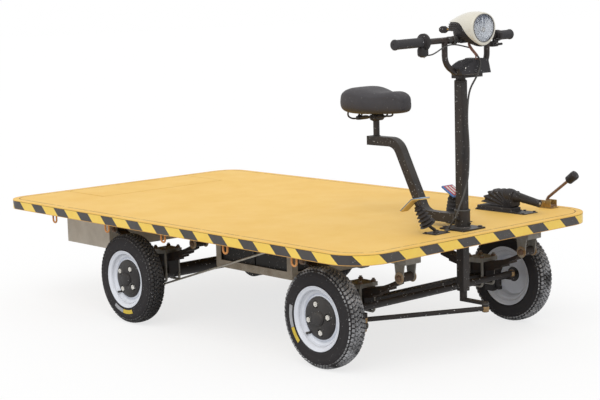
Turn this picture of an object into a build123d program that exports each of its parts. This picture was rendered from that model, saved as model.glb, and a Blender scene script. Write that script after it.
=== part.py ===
from build123d import *
import math
import os

# Electric platform truck, in millimetres.
# X points forward to the handlebar, Y to the left, Z up from the ground.
# The origin lies on the ground under the middle of the deck.

# Deck: a pressed-steel sheet on a channel rim and a ladder of channels
deck_length = 2300.0
deck_width = 1320.0
deck_top = 466.0
sheet_t = 3.0
rim_height = 38.0
rim_wall = 3.0
rim_flange = 32.0
front_corner_r = 150.0
rear_corner_r = 100.0
beam_width = 40.0
beam_wall = 3.0
rail_y = 335.0
cross_x_shares = (-0.717, -0.217, 0.287, 0.817)
fit_gap = 0.3
overrun = 5.0
thin_bar_sides = 8
half_length = deck_length / 2
half_width = deck_width / 2
rim_top = deck_top - sheet_t
rim_bottom = rim_top - rim_height
cross_x = [share * half_length for share in cross_x_shares]

# Hatch over the storage box, at the rear edge of the deck
hatch_depth = 325.0
hatch_half_width = 340.0
hatch_gap = 5.0
hatch_front_x = hatch_depth - half_length

# Storage box hung under the hatch
storage_setback = 102.0
storage_length = 338.0
storage_half_width = 400.0
storage_depth = 178.0
storage_wall = 2.0
storage_back_x = storage_setback - half_length
storage_x = (storage_back_x, storage_back_x + storage_length)

# Rope hooks under both sides of the rim
hook_x_shares = (-0.67, -0.322, 0.017, 0.357, 0.696)
hook_rod_r = 4.0
hook_drop = 34.0
hook_reach = 26.0
hook_inset = 22.0

# Axles, set in from the ends of the deck
front_axle_setback = 328.0
rear_axle_setback = 818.0
front_x = half_length - front_axle_setback
rear_x = rear_axle_setback - half_length

# Battery tray of steel angle, hung from the rails between the axles
tray_ahead_of_rear = 322.0
tray_behind_front = 362.0
tray_inset = 3.0
tray_bottom = 250.0
tray_x = (rear_x + tray_ahead_of_rear, front_x - tray_behind_front)
tray_half_width = rail_y + beam_width / 2 - tray_inset
angle_leg = 30.0
angle_t = 4.0
battery_columns = 2
battery_rows = 3
battery_gap = 8.0
battery_height = 150.0

# Wheels: small pneumatic tyres on pressed rims
wheel_r = 188.0
tyre_width = 80.0
bead_r = 103.0
tyre_bead_width = 58.0
side_r = 140.0
shoulder_r = 176.0
shoulder_width = 68.0
crown_width = 36.0
rim_width = 72.0
rim_flange_r = 115.5
rim_seat_r = 101.5
rim_well_r = 84.0
rim_sheet = 4.0
disc_recess = 19.4
disc_t = 9.0
hub_r = 76.5
hub_plate_t = 4.0
hub_crown_r = 45.0
hub_rise = 15.5
hub_cap_radii = (33.0, 26.5)
hub_cap_rise = 10.5
hub_cap_chamfer = 4.0
lug_pcd = 105.0
lug_pocket_r = 12.5
lug_pocket_rise = 8.0
lug_r = 9.0
lug_height = 10.0
lug_sides = 6
lug_count = 4
front_wheel_y = 520.0
rear_wheel_y = 549.0
axle_z = wheel_r

# Front axle and steering
kingpin_y = 425.0
beam_section = 40.0
beam_centre_z = 203.0
yoke_r = 23.0
yoke_ear_t = 11.0
yoke_depth = 33.0
yoke_back_t = 14.0
knuckle_r = 21.0
knuckle_height = 66.0
kingpin_r = 9.0
stub_r = 12.5
steer_arm_t = 10.0
steer_arm_z = 198.0
steer_arm_width = 26.0
tie_arm = 80.0
drag_arm = 108.0
stud_r = 5.0
stud_gap = 0.4
ball_r = 13.0
ball_height = 24.0
ball_lift = 2.0
tie_rod_r = 12.5
drag_rod_r = 9.0
axle_gap = 0.3

# Steering column
column_setback = 123.0
column_x = half_length - column_setback
column_side = 35.0
column_wall = 3.0
column_foot_z = 232.0
column_top_z = 1010.0
column_stub_r = 14.0
column_neck_r = 18.0
sleeve_r = 29.0
sleeve_bore_r = 25.5
sleeve_above = 68.0
sleeve_below = 62.0
base_plate_side = 120.0
base_plate_t = 6.0

# Handlebar: a straight bar, off-centre and a little low at its right end, on a U-shaped riser
bar_ahead = 28.0
bar_x = column_x + bar_ahead
bar_z = 1170.0
bar_r = 11.0
bar_half = 306.0
bar_shift = 62.0
bar_tilt = 1.15
riser_top_y = 114.0
riser_knee_z = 1082.0
riser_foot_y = 60.0
riser_z = 1048.0
riser_bend_r = 58.0
clamp_plate = (34.0, 133.0, 16.0)
clamp_plate_shift = 36.5
clamp_plate_z = 1025.5
grip_r = 17.0
grip_wall = 5.5
right_grip_length = 138.0
left_grip_length = 66.0
throttle_r = 23.0
throttle_disc_r = 31.0
throttle_disc_t = 13.0
throttle_disc_y = -222.0
throttle_box = (30.0, 27.0, 52.0)
throttle_box_chamfer = 9.0
switch_pod = (34.0, 24.0, 46.0)
switch_bracket = (22.0, 36.0, 42.0)
dash_behind = 8.0
dash_depth = 52.0
dash_right = 72.0
dash_left = 100.0
dash_rise = 55.0
dash_shoulder_shares = (0.4, 0.9)
dash_toe = 14.0
dash_wall = 4.0

# Headlamp: a bullet-shaped hood, its bezel ahead of the column
lamp_ahead = 116.0
lamp_front_x = column_x + lamp_ahead
lamp_z = 1202.0
lamp_r = 65.0
lamp_length = 168.0
# Each ring of the hood: share of the length behind the bezel, share of the radius
hood_ring_shares = [(0.0, 0.91), (0.12, 0.985), (0.32, 1.0), (0.52, 0.92), (0.72, 0.74), (0.845, 0.6), (1.0, 0.43)]
hood_edge_rise = 28.0
hood_edge_start = 56.0
hood_edge_middle = (31.0, 0.0)
bezel_depth = 8.0
lens_r = 50.5
lens_lift = 3.5
lens_recess = 6.0
lens_rim_t = 3.0
lens_bulge = 9.0
lens_ring_shares = (0.7, 0.35)
bowl_depth = 46.0
bowl_floor_r = 15.0
lamp_body_inset = 1.5
lamp_body_back = 136.0
lamp_body_low = 4.0
lamp_neck = (102.0, 22.0)
lamp_belly = (55.0, 34.0)
lamp_clamp_wall = 5.0
lamp_clamp_half = 26.0

# Wiring: a harness down the front of the column, and the throttle's cable that joins it
harness_r = 3.5
throttle_cable_r = 2.5
bend_share = 0.45

# Seat and its arm
arm_side = 35.0
arm_top_z = 770.0
arm_knee_behind = 189.0
arm_shoulder_behind = 327.0
arm_back_behind = 482.0
arm_knee_x = column_x - arm_knee_behind
arm_shoulder_x = column_x - arm_shoulder_behind
arm_back_x = column_x - arm_back_behind
arm_low_z = 503.0
arm_bend_r = 60.0
post_behind = 444.0
post_x = column_x - post_behind
post_r = 12.5
post_top_z = 846.0
saddle_rail_r = 3.5
saddle_rail_z = 868.0
saddle_back_behind = 587.0
saddle_nose_behind = 299.0
saddle_back_x = column_x - saddle_back_behind
saddle_nose_x = column_x - saddle_nose_behind
saddle_rear_half = 108.0
saddle_rear_share = 0.5
saddle_waist_half = 41.0
saddle_nose_half = 24.0
saddle_base_z = 884.0
saddle_rear_z = 974.0
saddle_dip_z = 944.0
saddle_nose_z = 948.0

# Springs: main leaf and shorter leaves below it
leaf_width = 50.0
leaf_t = 7.0
leaf_length_shares = (1.0, 0.86, 0.7, 0.54, 0.38)
eye_z = 338.0
eye_r = 17.0
eye_bore_r = 8.0
pin_r = 7.7
front_spring_y = rail_y
rear_spring_y = 365.0
front_spring_ahead = 233.0
front_spring_behind = 282.0
rear_spring_ahead = 226.0
rear_spring_behind = 340.0
spring_seat_z = 236.0
hanger_t = 5.0
hanger_width = 58.0
hanger_gap = 2.0
shackle_top_z = 396.0
shackle_width = 28.0
u_bolt_r = 5.5
u_bolt_reach = 34.0
u_bolt_top_z = 304.0
clamp_plate_t = 8.0
clamp_plate_rise = 12.0
bump_stop_size = (60.0, 44.0)
bump_stop_bottom_z = 345.0
bump_stop_round = 9.0
spring_pad_half = 45.0

# Rear axle, gear case and motor
axle_tube_r = 28.0
axle_tube_half = 462.0
spindle_r = 16.0
diff_r = 92.0
diff_y = 160.0
diff_width = 120.0
motor_ahead = 167.0
motor_x = rear_x + motor_ahead
motor_z = 262.0
motor_r = 78.0
motor_right_y = 44.0
motor_case_r = 84.0
motor_cover_t = 9.0
motor_cover_inset = 9.0
drum_r = 82.0
drum_y = (462.0, 506.0)
brake_rod_r = 4.0
brake_rod_y = 418.0
brake_lever_t = 6.0

# Pedals, levers and their rubber gaiters
gaiter_folds = 5
gaiter_neck_share = 0.8
gaiter_fold_share = 0.7
pedal_rod_r = 6.0
pedal_gaiter_shares = (0.28, 0.85)
pedal_t = 8.0
pedal_gaiter_foot_r = 27.0
pedal_gaiter_neck_r = 14.5
# Each pedal's foot and pad: distance behind the column, Y and, for the pad, height
accelerator_foot = (9.0, -150.0)
accelerator_pad = (42.0, -208.0, 582.0)
accelerator_tilt = 37.0
accelerator_width = 38.0
accelerator_lip = 26.0
brake_foot = (109.0, 84.0)
brake_pad = (72.0, 28.0, 600.0)
brake_tilt = 30.0
brake_width = 60.0
pad_length = 72.0
handbrake_behind = (282.0, 27.0)
handbrake_x = tuple(column_x - behind for behind in handbrake_behind)
handbrake_y = 429.0
handbrake_plate_width = 82.0
handbrake_plinth = (178.0, 56.0, 14.0)
handbrake_lever_behind = 122.0
handbrake_lever_z = 540.0
handbrake_grip_ahead = 13.0
handbrake_grip_x = column_x + handbrake_grip_ahead
handbrake_grip_z = 512.0
handbrake_grip_r = 13.0
bellows_width = 52.0
bellows_valley = 8.0
# Each ridge of the handbrake's bellows: degrees above forward, distance from the plinth's front
bellows_ridges = [(115, 75), (130, 92), (141, 116), (150, 132), (160, 150), (173, 166)]
gear_lever_inset = 60.0
gear_foot_behind = 81.0
gear_foot_x = column_x - gear_foot_behind
gear_bend_z = 506.0
gear_bend_r = 14.0
gear_bracket = (60.0, 36.0, 12.0)
gear_knob_ahead = 41.0
gear_knob_x = column_x + gear_knob_ahead
gear_knob_z = 597.0
gear_rod_r = 6.0
gear_knob_r = 17.0
gear_knob_length = 40.0
# Each ring of the knob: share of its length from the rod, share of its radius
gear_knob_shares = [(0.0, 0.5), (0.7, 1.0), (0.9, 0.95), (1.0, 0.6)]

parts = {}


def block(x_range, y_range, z_range):
    """A box between two corners, each range given low to high."""
    size = [pair[1] - pair[0] for pair in (x_range, y_range, z_range)]
    middle = [(pair[0] + pair[1]) / 2 for pair in (x_range, y_range, z_range)]
    return Pos(*middle) * Box(*size)


def rod(start, end, radius):
    """A round bar from one point to another."""
    run = Vector(*end) - Vector(*start)
    plane = Plane(origin=start, z_dir=run)
    return plane * Cylinder(radius, run.length, align=(Align.CENTER, Align.CENTER, Align.MIN))


def upright(x, y, z_low, z_high, radius):
    """A vertical round bar."""
    return rod((x, y, z_low), (x, y, z_high), radius)


def bent_bar(points, bend_r, section):
    """A bar of one section swept along straight runs joined by arcs."""
    path = FilletPolyline(*points, radius=bend_r)
    start = Plane(origin=path @ 0, z_dir=path % 0)
    return sweep(start * section, path=path)


def thin_section(radius):
    """The section of a thin bent bar, eight-sided where the real one is round."""
    return RegularPolygon(radius, thin_bar_sides)


def cable(points, radius):
    """A cable along a hand-laid route, each bend as wide as its two runs allow."""
    runs = [Vector(*end) - Vector(*start) for start, end in zip(points, points[1:])]
    radii = []
    for before, after in zip(runs, runs[1:]):
        half_turn = math.radians(before.get_angle(after) / 2)
        radii.append(bend_share * min(before.length, after.length) / math.tan(half_turn))
    print("cable bends", [round(value) for value in radii])
    return bent_bar(points, radii, Circle(radius))


def mirrored(shape):
    """The same shape on the other side of the truck."""
    return mirror(shape, about=Plane.XZ)


def joined(pieces):
    """All pieces welded into one."""
    whole = pieces[0]
    for piece in pieces[1:]:
        whole = whole + piece
    return whole


def group(pieces):
    """Separate pieces kept in one sub-part."""
    solids = []
    for piece in pieces:
        solids.extend(piece.solids())
    return Compound(children=solids)


# Deck

def deck_plan(inset):
    """The deck's outline, pulled in by inset, with larger corners in front."""
    plan = Rectangle(deck_length - 2 * inset, deck_width - 2 * inset)
    plan = fillet(plan.vertices().group_by(Axis.X)[-1], front_corner_r - inset)
    return fillet(plan.vertices().group_by(Axis.X)[0], rear_corner_r - inset)


def deck_rim():
    """An inward-facing channel that runs round the deck."""
    outer = extrude(deck_plan(0), rim_height)
    opening = extrude(deck_plan(rim_flange), rim_height)
    pocket = Pos(0, 0, rim_wall) * extrude(deck_plan(rim_wall), rim_height - 2 * rim_wall)
    return Pos(0, 0, rim_bottom) * (outer - opening - pocket)


def deck_beams():
    """Two long channels and four cross channels, open below."""
    reach_x = half_length - rim_flange
    reach_y = half_width - rim_flange
    half = beam_width / 2
    lanes = [((-reach_x, reach_x), (y - half, y + half)) for y in (-rail_y, rail_y)]
    lanes += [((x - half, x + half), (-reach_y, reach_y)) for x in cross_x]
    bars = joined([block(xs, ys, (rim_bottom, rim_top)) for xs, ys in lanes])
    inner = half - beam_wall
    trim = beam_wall
    hollows = [((-reach_x + trim, reach_x - trim), (y - inner, y + inner)) for y in (-rail_y, rail_y)]
    hollows += [((x - inner, x + inner), (-reach_y + trim, reach_y - trim)) for x in cross_x]
    for xs, ys in hollows:
        bars = bars - block(xs, ys, (rim_bottom - overrun, rim_top - beam_wall))
    return bars


sheet_split_x = cross_x[2]
sheet_solid = Pos(0, 0, rim_top) * extrude(deck_plan(0), sheet_t)
hatch_cut = block(
    (-half_length - overrun, hatch_front_x),
    (-hatch_half_width - hatch_gap, hatch_half_width + hatch_gap),
    (rim_top - overrun, deck_top + overrun),
)
column_hole = upright(column_x, 0, rim_top - overrun, deck_top + overrun, sleeve_r + fit_gap)
rear_half = block(
    (-half_length - overrun, sheet_split_x),
    (-half_width - overrun, half_width + overrun),
    (rim_top - overrun, deck_top + overrun),
)
parts["deck_rim"] = deck_rim()
parts["deck_beams"] = deck_beams()
parts["cargo_sheet"] = (sheet_solid & rear_half) - hatch_cut
parts["front_sheet"] = sheet_solid - rear_half - column_hole
parts["hatch"] = block(
    (-half_length, hatch_front_x - hatch_gap),
    (-hatch_half_width, hatch_half_width),
    (rim_top + fit_gap, deck_top),
)


def rope_hook(x):
    """A round-bar hook welded under the right side of the rim."""
    y = -half_width + hook_inset
    low = rim_bottom - hook_drop
    points = [
        (x - hook_reach / 2, y, rim_bottom),
        (x - hook_reach / 2, y, low),
        (x + hook_reach / 2, y, low),
        (x + hook_reach / 2, y, rim_bottom),
    ]
    return bent_bar(points, hook_reach / 2 - fit_gap, thin_section(hook_rod_r))


right_hooks = [rope_hook(share * half_length) for share in hook_x_shares]
parts["rope_hooks"] = group(right_hooks + [mirrored(hook) for hook in right_hooks])

# Storage box and battery tray

storage_bottom = rim_bottom - storage_depth


def storage_box():
    """A folded zinc-plated sheet box, open on top under the hatch."""
    ys = (-storage_half_width, storage_half_width)
    outer = block(storage_x, ys, (storage_bottom, rim_bottom))
    wall = storage_wall
    inner = block(
        (storage_x[0] + wall, storage_x[1] - wall),
        (ys[0] + wall, ys[1] - wall),
        (storage_bottom + wall, rim_bottom + overrun),
    )
    return outer - inner


def battery_tray():
    """Angle-steel bottom frame and four uprights under the rails."""
    ys = (-tray_half_width, tray_half_width)
    outer = block(tray_x, ys, (tray_bottom, tray_bottom + angle_leg))
    core = block(
        (tray_x[0] + angle_t, tray_x[1] - angle_t),
        (ys[0] + angle_t, ys[1] - angle_t),
        (tray_bottom + angle_t, tray_bottom + angle_leg + overrun),
    )
    window = block(
        (tray_x[0] + angle_leg, tray_x[1] - angle_leg),
        (ys[0] + angle_leg, ys[1] - angle_leg),
        (tray_bottom - overrun, tray_bottom + angle_leg),
    )
    tray = outer - core - window
    for x_side in (0, 1):
        inward = angle_leg if x_side == 0 else -angle_leg
        x_span = sorted((tray_x[x_side], tray_x[x_side] + inward))
        thin = sorted((tray_x[x_side], tray_x[x_side] + math.copysign(angle_t, inward)))
        for side in (-1, 1):
            y_span = sorted((side * tray_half_width, side * (tray_half_width - angle_leg)))
            y_thin = sorted((side * tray_half_width, side * (tray_half_width - angle_t)))
            tray = tray + block(x_span, y_thin, (tray_bottom, rim_bottom))
            tray = tray + block(thin, y_span, (tray_bottom, rim_bottom))
    return tray


def batteries():
    """Blocks in rows that stand on the tray's inward legs."""
    inside_x = tray_x[1] - tray_x[0] - 2 * angle_t - 2 * battery_gap
    inside_y = 2 * tray_half_width - 2 * angle_t - 2 * battery_gap
    size_x = (inside_x - (battery_columns - 1) * battery_gap) / battery_columns
    size_y = (inside_y - (battery_rows - 1) * battery_gap) / battery_rows
    low = tray_bottom + angle_t
    cells = []
    for column in range(battery_columns):
        x = tray_x[0] + angle_t + battery_gap + column * (size_x + battery_gap)
        for row in range(battery_rows):
            y = -tray_half_width + angle_t + battery_gap + row * (size_y + battery_gap)
            cells.append(block((x, x + size_x), (y, y + size_y), (low, low + battery_height)))
    return group(cells)


parts["storage_box"] = storage_box()
parts["battery_tray"] = battery_tray()
parts["batteries"] = batteries()

# Leaf springs

# Each spring: axle X, spring Y, reach ahead, reach behind, bottom of what the clamp holds
spring_table = [
    (front_x, front_spring_y, front_spring_ahead, front_spring_behind, beam_centre_z - beam_section / 2),
    (rear_x, rear_spring_y, rear_spring_ahead, rear_spring_behind, axle_z - axle_tube_r),
]
pack_t = leaf_t * len(leaf_length_shares)
main_top_z = spring_seat_z + pack_t


def leaf_centre(axle_x, ahead, behind):
    """Centre and radius of the main leaf's upper face, a circle through both eyes."""
    middle = axle_x + (ahead - behind) / 2
    half = (ahead + behind) / 2
    offset = axle_x - middle
    rise = eye_z - main_top_z
    height = (half**2 - offset**2 + eye_z**2 - main_top_z**2) / (2 * rise)
    radius = math.hypot(half, height - eye_z)
    return middle, height, radius


def leaf_spring(axle_x, y, ahead, behind):
    """A pack of curved leaves with a rolled eye at each end of the main leaf."""
    middle, height, radius = leaf_centre(axle_x, ahead, behind)
    leaves = []
    for index, share in enumerate(leaf_length_shares):
        inner_r = radius + index * leaf_t
        ring = Circle(inner_r + leaf_t) - Circle(inner_r)
        curved = Plane(origin=(middle, y, height), z_dir=(0, -1, 0)) * ring
        curved = extrude(curved, leaf_width / 2, both=True)
        span = block(
            (axle_x - behind * share, axle_x + ahead * share),
            (y - leaf_width, y + leaf_width),
            (spring_seat_z - pack_t, eye_z + overrun),
        )
        leaves.append(curved & span)
    spring = joined(leaves)
    half = leaf_width / 2
    for x in (axle_x + ahead, axle_x - behind):
        spring = spring + rod((x, y - half, eye_z), (x, y + half, eye_z), eye_r)
    for x in (axle_x + ahead, axle_x - behind):
        spring = spring - rod((x, y - leaf_width, eye_z), (x, y + leaf_width, eye_z), eye_bore_r)
    return spring


def leaf_face(axle_x, ahead, behind, y, depth):
    """A round drum whose face runs depth below the main leaf's upper face."""
    middle, height, radius = leaf_centre(axle_x, ahead, behind)
    start = (middle, y - leaf_width, height)
    return rod(start, (middle, y + leaf_width, height), radius + depth)


def front_hanger(x, y):
    """Two tapered ears under the frame with the pin of the spring's front eye."""
    inside = leaf_width / 2 + hanger_gap
    outside = inside + hanger_t
    half = hanger_width / 2
    ears = []
    for span in ((-outside, -inside), (inside, outside)):
        corners = [(x - half, rim_bottom), (x + half, rim_bottom), (x + eye_r, eye_z), (x - eye_r, eye_z)]
        side = Plane.XZ.offset(-y - span[1]) * make_face(Polyline(*corners, close=True))
        ears.append(extrude(side, hanger_t) + rod((x, y + span[0], eye_z), (x, y + span[1], eye_z), eye_r))
    bridge = block(
        (x - hanger_width / 2, x + hanger_width / 2),
        (y - outside, y + outside),
        (rim_bottom - hanger_t, rim_bottom),
    )
    pin = rod((x, y - outside - hanger_t, eye_z), (x, y + outside + hanger_t, eye_z), pin_r)
    return joined(ears + [bridge, pin])


def rear_shackle(x, y):
    """A lug under the frame and the pair of links that hold the rear eye."""
    half = leaf_width / 2
    lug = block((x - eye_r, x + eye_r), (y - half, y + half), (shackle_top_z, rim_bottom))
    lug = lug + rod((x, y - half, shackle_top_z), (x, y + half, shackle_top_z), eye_r)
    lug = lug - rod((x, y - leaf_width, shackle_top_z), (x, y + leaf_width, shackle_top_z), eye_bore_r)
    inside = half + hanger_gap
    outside = inside + hanger_t
    links = []
    for span in ((-outside, -inside), (inside, outside)):
        link = block((x - shackle_width / 2, x + shackle_width / 2), (y + span[0], y + span[1]), (eye_z, shackle_top_z))
        for z in (eye_z, shackle_top_z):
            link = link + rod((x, y + span[0], z), (x, y + span[1], z), shackle_width / 2)
        links.append(link)
    pins = [rod((x, y - outside, z), (x, y + outside, z), pin_r) for z in (eye_z, shackle_top_z)]
    return [lug, joined(links + pins)]


def spring_clamp(axle_x, y, ahead, behind, held_bottom):
    """A plate on the leaves and two U-bolts round the axle below."""
    reach = u_bolt_reach + 2 * u_bolt_r
    top = main_top_z + clamp_plate_rise + clamp_plate_t
    plate = block((axle_x - reach, axle_x + reach), (y - reach, y + reach), (main_top_z - leaf_t, top))
    plate = plate & leaf_face(axle_x, ahead, behind, y, -axle_gap)
    pieces = [plate]
    low = held_bottom - fit_gap - u_bolt_r
    for side in (-1, 1):
        leg_y = y + side * u_bolt_reach
        path = [
            (axle_x - u_bolt_reach, leg_y, u_bolt_top_z),
            (axle_x - u_bolt_reach, leg_y, low),
            (axle_x + u_bolt_reach, leg_y, low),
            (axle_x + u_bolt_reach, leg_y, u_bolt_top_z),
        ]
        pieces.append(bent_bar(path, 2 * u_bolt_r, thin_section(u_bolt_r)))
    return joined(pieces)


def bump_stop(axle_x, y):
    """A rubber block under the frame above the axle."""
    half = bump_stop_size[0] / 2
    wide = bump_stop_size[1] / 2
    foot = block((axle_x - half, axle_x + half), (y - wide, y + wide), (bump_stop_bottom_z, rim_bottom))
    return fillet(foot.edges().group_by(Axis.Z)[0], bump_stop_round)


springs = []
fittings = []
for axle_x, y, ahead, behind, held_bottom in spring_table:
    right = [leaf_spring(axle_x, -y, ahead, behind)]
    springs += right + [mirrored(piece) for piece in right]
    right = [front_hanger(axle_x + ahead, -y)]
    right += rear_shackle(axle_x - behind, -y)
    right += [spring_clamp(axle_x, -y, ahead, behind, held_bottom), bump_stop(axle_x, -y)]
    fittings += right + [mirrored(piece) for piece in right]
parts["leaf_springs"] = group(springs)
parts["spring_fittings"] = group(fittings)

# Front axle, knuckles and steering rods

yoke_inner = knuckle_height / 2 + axle_gap
yoke_outer = yoke_inner + yoke_ear_t


def spring_pad(axle_x, ahead, behind, y, foot_z):
    """The seat between the axle and the lowest leaf, hollowed to the leaf's curve."""
    half = leaf_width / 2
    span = (axle_x - spring_pad_half, axle_x + spring_pad_half)
    pad = block(span, (y - half, y + half), (foot_z, spring_seat_z + leaf_t))
    return pad - leaf_face(axle_x, ahead, behind, y, pack_t + axle_gap)


def axle_yoke(side):
    """The forked end of the beam, with an eye above and below the knuckle."""
    y = side * kingpin_y
    near_y = side * (kingpin_y - yoke_depth)
    inner_y = near_y - side * yoke_back_t
    half = beam_section / 2
    low = axle_z - yoke_outer
    high = axle_z + yoke_outer
    back = block((front_x - half, front_x + half), sorted((inner_y, near_y)), (low, high))
    pieces = [back]
    for z_range in ((axle_z + yoke_inner, high), (low, axle_z - yoke_inner)):
        pieces.append(block((front_x - half, front_x + half), sorted((inner_y, y)), z_range))
        pieces.append(upright(front_x, y, z_range[0], z_range[1], yoke_r))
    yoke = joined(pieces)
    return yoke - upright(front_x, y, low - overrun, high + overrun, kingpin_r + stud_gap)


def front_axle():
    """A square beam with spring pads and a yoke at each end."""
    half = beam_section / 2
    end = kingpin_y - knuckle_r - half
    beam = block((front_x - half, front_x + half), (-end, end), (beam_centre_z - half, beam_centre_z + half))
    pieces = [beam]
    for side in (-1, 1):
        pieces.append(spring_pad(
            front_x, front_spring_ahead, front_spring_behind, side * front_spring_y, beam_centre_z
        ))
        pieces.append(axle_yoke(side))
    return joined(pieces)


def knuckle(side):
    """A kingpin barrel with the wheel's stub axle and the steering arm."""
    y = side * kingpin_y
    half = knuckle_height / 2
    barrel = upright(front_x, y, axle_z - half, axle_z + half, knuckle_r)
    pin = upright(front_x, y, axle_z - yoke_outer, axle_z + yoke_outer, kingpin_r)
    hub_face = side * (front_wheel_y + rim_width / 2 - disc_recess - disc_t)
    stub = rod((front_x, y, axle_z), (front_x, hub_face - side * axle_gap, axle_z), stub_r)
    low = steer_arm_z - steer_arm_t / 2
    high = steer_arm_z + steer_arm_t / 2
    half_arm = steer_arm_width / 2
    reach = drag_arm if side < 0 else tie_arm
    arm = block((front_x, front_x + reach), (y - half_arm, y + half_arm), (low, high))
    arm = arm + upright(front_x + reach, y, low, high, half_arm)
    tie_stud = upright(front_x + tie_arm, y, low, high + ball_lift + ball_height, stud_r)
    pieces = [barrel, pin, stub, arm, tie_stud]
    if side < 0:
        pieces.append(upright(front_x + drag_arm, y, low - ball_lift - ball_height, high, stud_r))
    return joined(pieces)


def ball_end(x, y, z):
    """A rod end: a round housing bored for its stud."""
    half = ball_height / 2
    housing = upright(x, y, z - half, z + half, ball_r)
    bore = upright(x, y, z - half - overrun, z + half + overrun, stud_r + stud_gap)
    return housing, bore


def steering_rod(start, end, radius):
    """A rod between two bored ends."""
    first, first_bore = ball_end(*start)
    last, last_bore = ball_end(*end)
    run = (Vector(*end) - Vector(*start)).normalized()
    begin = Vector(*start) + run * (ball_r - ball_lift)
    finish = Vector(*end) - run * (ball_r - ball_lift)
    body = rod(tuple(begin), tuple(finish), radius)
    return joined([first, last, body]) - first_bore - last_bore


arm_low = steer_arm_z - steer_arm_t / 2
arm_high = steer_arm_z + steer_arm_t / 2
tie_z = arm_high + ball_lift + ball_height / 2
drag_z = arm_low - ball_lift - ball_height / 2
parts["front_axle"] = front_axle()
parts["knuckle_left"] = knuckle(1)
parts["knuckle_right"] = knuckle(-1)
parts["tie_rod"] = steering_rod(
    (front_x + tie_arm, -kingpin_y, tie_z), (front_x + tie_arm, kingpin_y, tie_z), tie_rod_r - fit_gap
)
parts["drag_link"] = steering_rod(
    (column_x + drag_arm, 0, drag_z), (front_x + drag_arm, -kingpin_y, drag_z), drag_rod_r
)

# Rear axle, gear case, motor and brakes


def rear_axle():
    """A tube with spring pads, a gear case on the left and a brake plate at each end."""
    tube = rod((rear_x, -axle_tube_half, axle_z), (rear_x, axle_tube_half, axle_z), axle_tube_r)
    pieces = [tube]
    case_y = (diff_y - diff_width / 2, diff_y + diff_width / 2)
    pieces.append(rod((rear_x, case_y[0], axle_z), (rear_x, case_y[1], axle_z), diff_r))
    pieces.append(rod((motor_x, case_y[0], motor_z), (motor_x, case_y[1], motor_z), motor_case_r))
    run = Vector(motor_x - rear_x, 0, motor_z - axle_z)
    web = Plane(origin=(rear_x, diff_y, axle_z), x_dir=run, z_dir=(0, -1, 0))
    web = web * Pos(run.length / 2, 0, 0) * Box(run.length, 2 * motor_case_r, diff_width)
    pieces.append(web)
    for side in (-1, 1):
        pieces.append(spring_pad(
            rear_x, rear_spring_ahead, rear_spring_behind, side * rear_spring_y, axle_z
        ))
        hub_face = side * (rear_wheel_y + rim_width / 2 - disc_recess - disc_t - axle_gap)
        pieces.append(rod((rear_x, side * axle_tube_half, axle_z), (rear_x, hub_face, axle_z), spindle_r))
        pieces.append(rod((rear_x, side * drum_y[0], axle_z), (rear_x, side * drum_y[1], axle_z), drum_r))
    return joined(pieces)


def motor():
    """The drive motor's round body, with a ringed cover on its free end."""
    case_y = diff_y - diff_width / 2
    cover_y = motor_right_y - motor_cover_t
    body = rod((motor_x, motor_right_y, motor_z), (motor_x, case_y, motor_z), motor_r)
    cover = rod((motor_x, cover_y, motor_z), (motor_x, motor_right_y, motor_z), motor_r - motor_cover_inset)
    return body + cover


def brake_rods():
    """A drum lever and a long pull rod on each side."""
    lever_z = axle_z - drum_r / 2
    rod_start = (rear_x + drum_r / 2, -brake_rod_y, lever_z)
    rod_end = (tray_x[1] + angle_leg, -brake_rod_y, rim_bottom - angle_leg)
    pull = rod(rod_start, rod_end, brake_rod_r)
    half = brake_lever_t / 2
    lever = block(
        (rod_start[0] - brake_lever_t, rod_start[0] + brake_lever_t),
        (-drum_y[0], -brake_rod_y + half),
        (lever_z - brake_lever_t, lever_z + brake_lever_t),
    )
    post = block(
        (rod_end[0] - brake_lever_t, rod_end[0] + brake_lever_t),
        (-brake_rod_y - half, -brake_rod_y + half),
        (rod_end[2] - brake_lever_t, rim_bottom),
    )
    return joined([pull, lever, post])


parts["rear_axle"] = rear_axle()
parts["motor"] = motor()
right_rod = brake_rods()
parts["brake_rods"] = group([right_rod, mirrored(right_rod)])

# Wheels


def tyre(x, y):
    """A small road tyre, turned about its axle."""
    half = tyre_width / 2
    bead = tyre_bead_width / 2
    shoulder = shoulder_width / 2
    crown = crown_width / 2
    right_half = [(bead_r, bead), (side_r, half), (shoulder_r, shoulder), (wheel_r, crown)]
    left_half = [(radius, -across) for radius, across in reversed(right_half)]
    section = make_face(Polyline(*right_half, *left_half, close=True))
    return Pos(x, y, axle_z) * revolve(section, Axis.Y)


def rim_barrel():
    """The pressed rim: a well between two bead seats, with a flange on each side."""
    half = rim_width / 2
    seat = tyre_bead_width / 2 + fit_gap
    well = seat / 3
    inner_seat = rim_seat_r - rim_sheet
    inner_well = rim_well_r - rim_sheet
    outer = [(rim_flange_r, half), (rim_seat_r, seat), (rim_well_r, well)]
    inner = [(inner_well, well + rim_sheet / 2), (inner_seat, seat), (rim_flange_r - rim_sheet, half)]
    outer += [(radius, -across) for radius, across in reversed(outer)]
    inner = [(radius, -across) for radius, across in reversed(inner)] + inner
    return revolve(make_face(Polyline(*outer, *inner, close=True)), Axis.Y)


def hub_plate(face):
    """A domed plate on the rim's disc, its rim at face."""
    back = face - hub_plate_t
    crown = face + hub_rise
    outline = [(0, back), (hub_r, back), (hub_r, face), (hub_crown_r, crown), (0, crown)]
    return revolve(make_face(Polyline(*outline, close=True)), Axis.Y)


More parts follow.
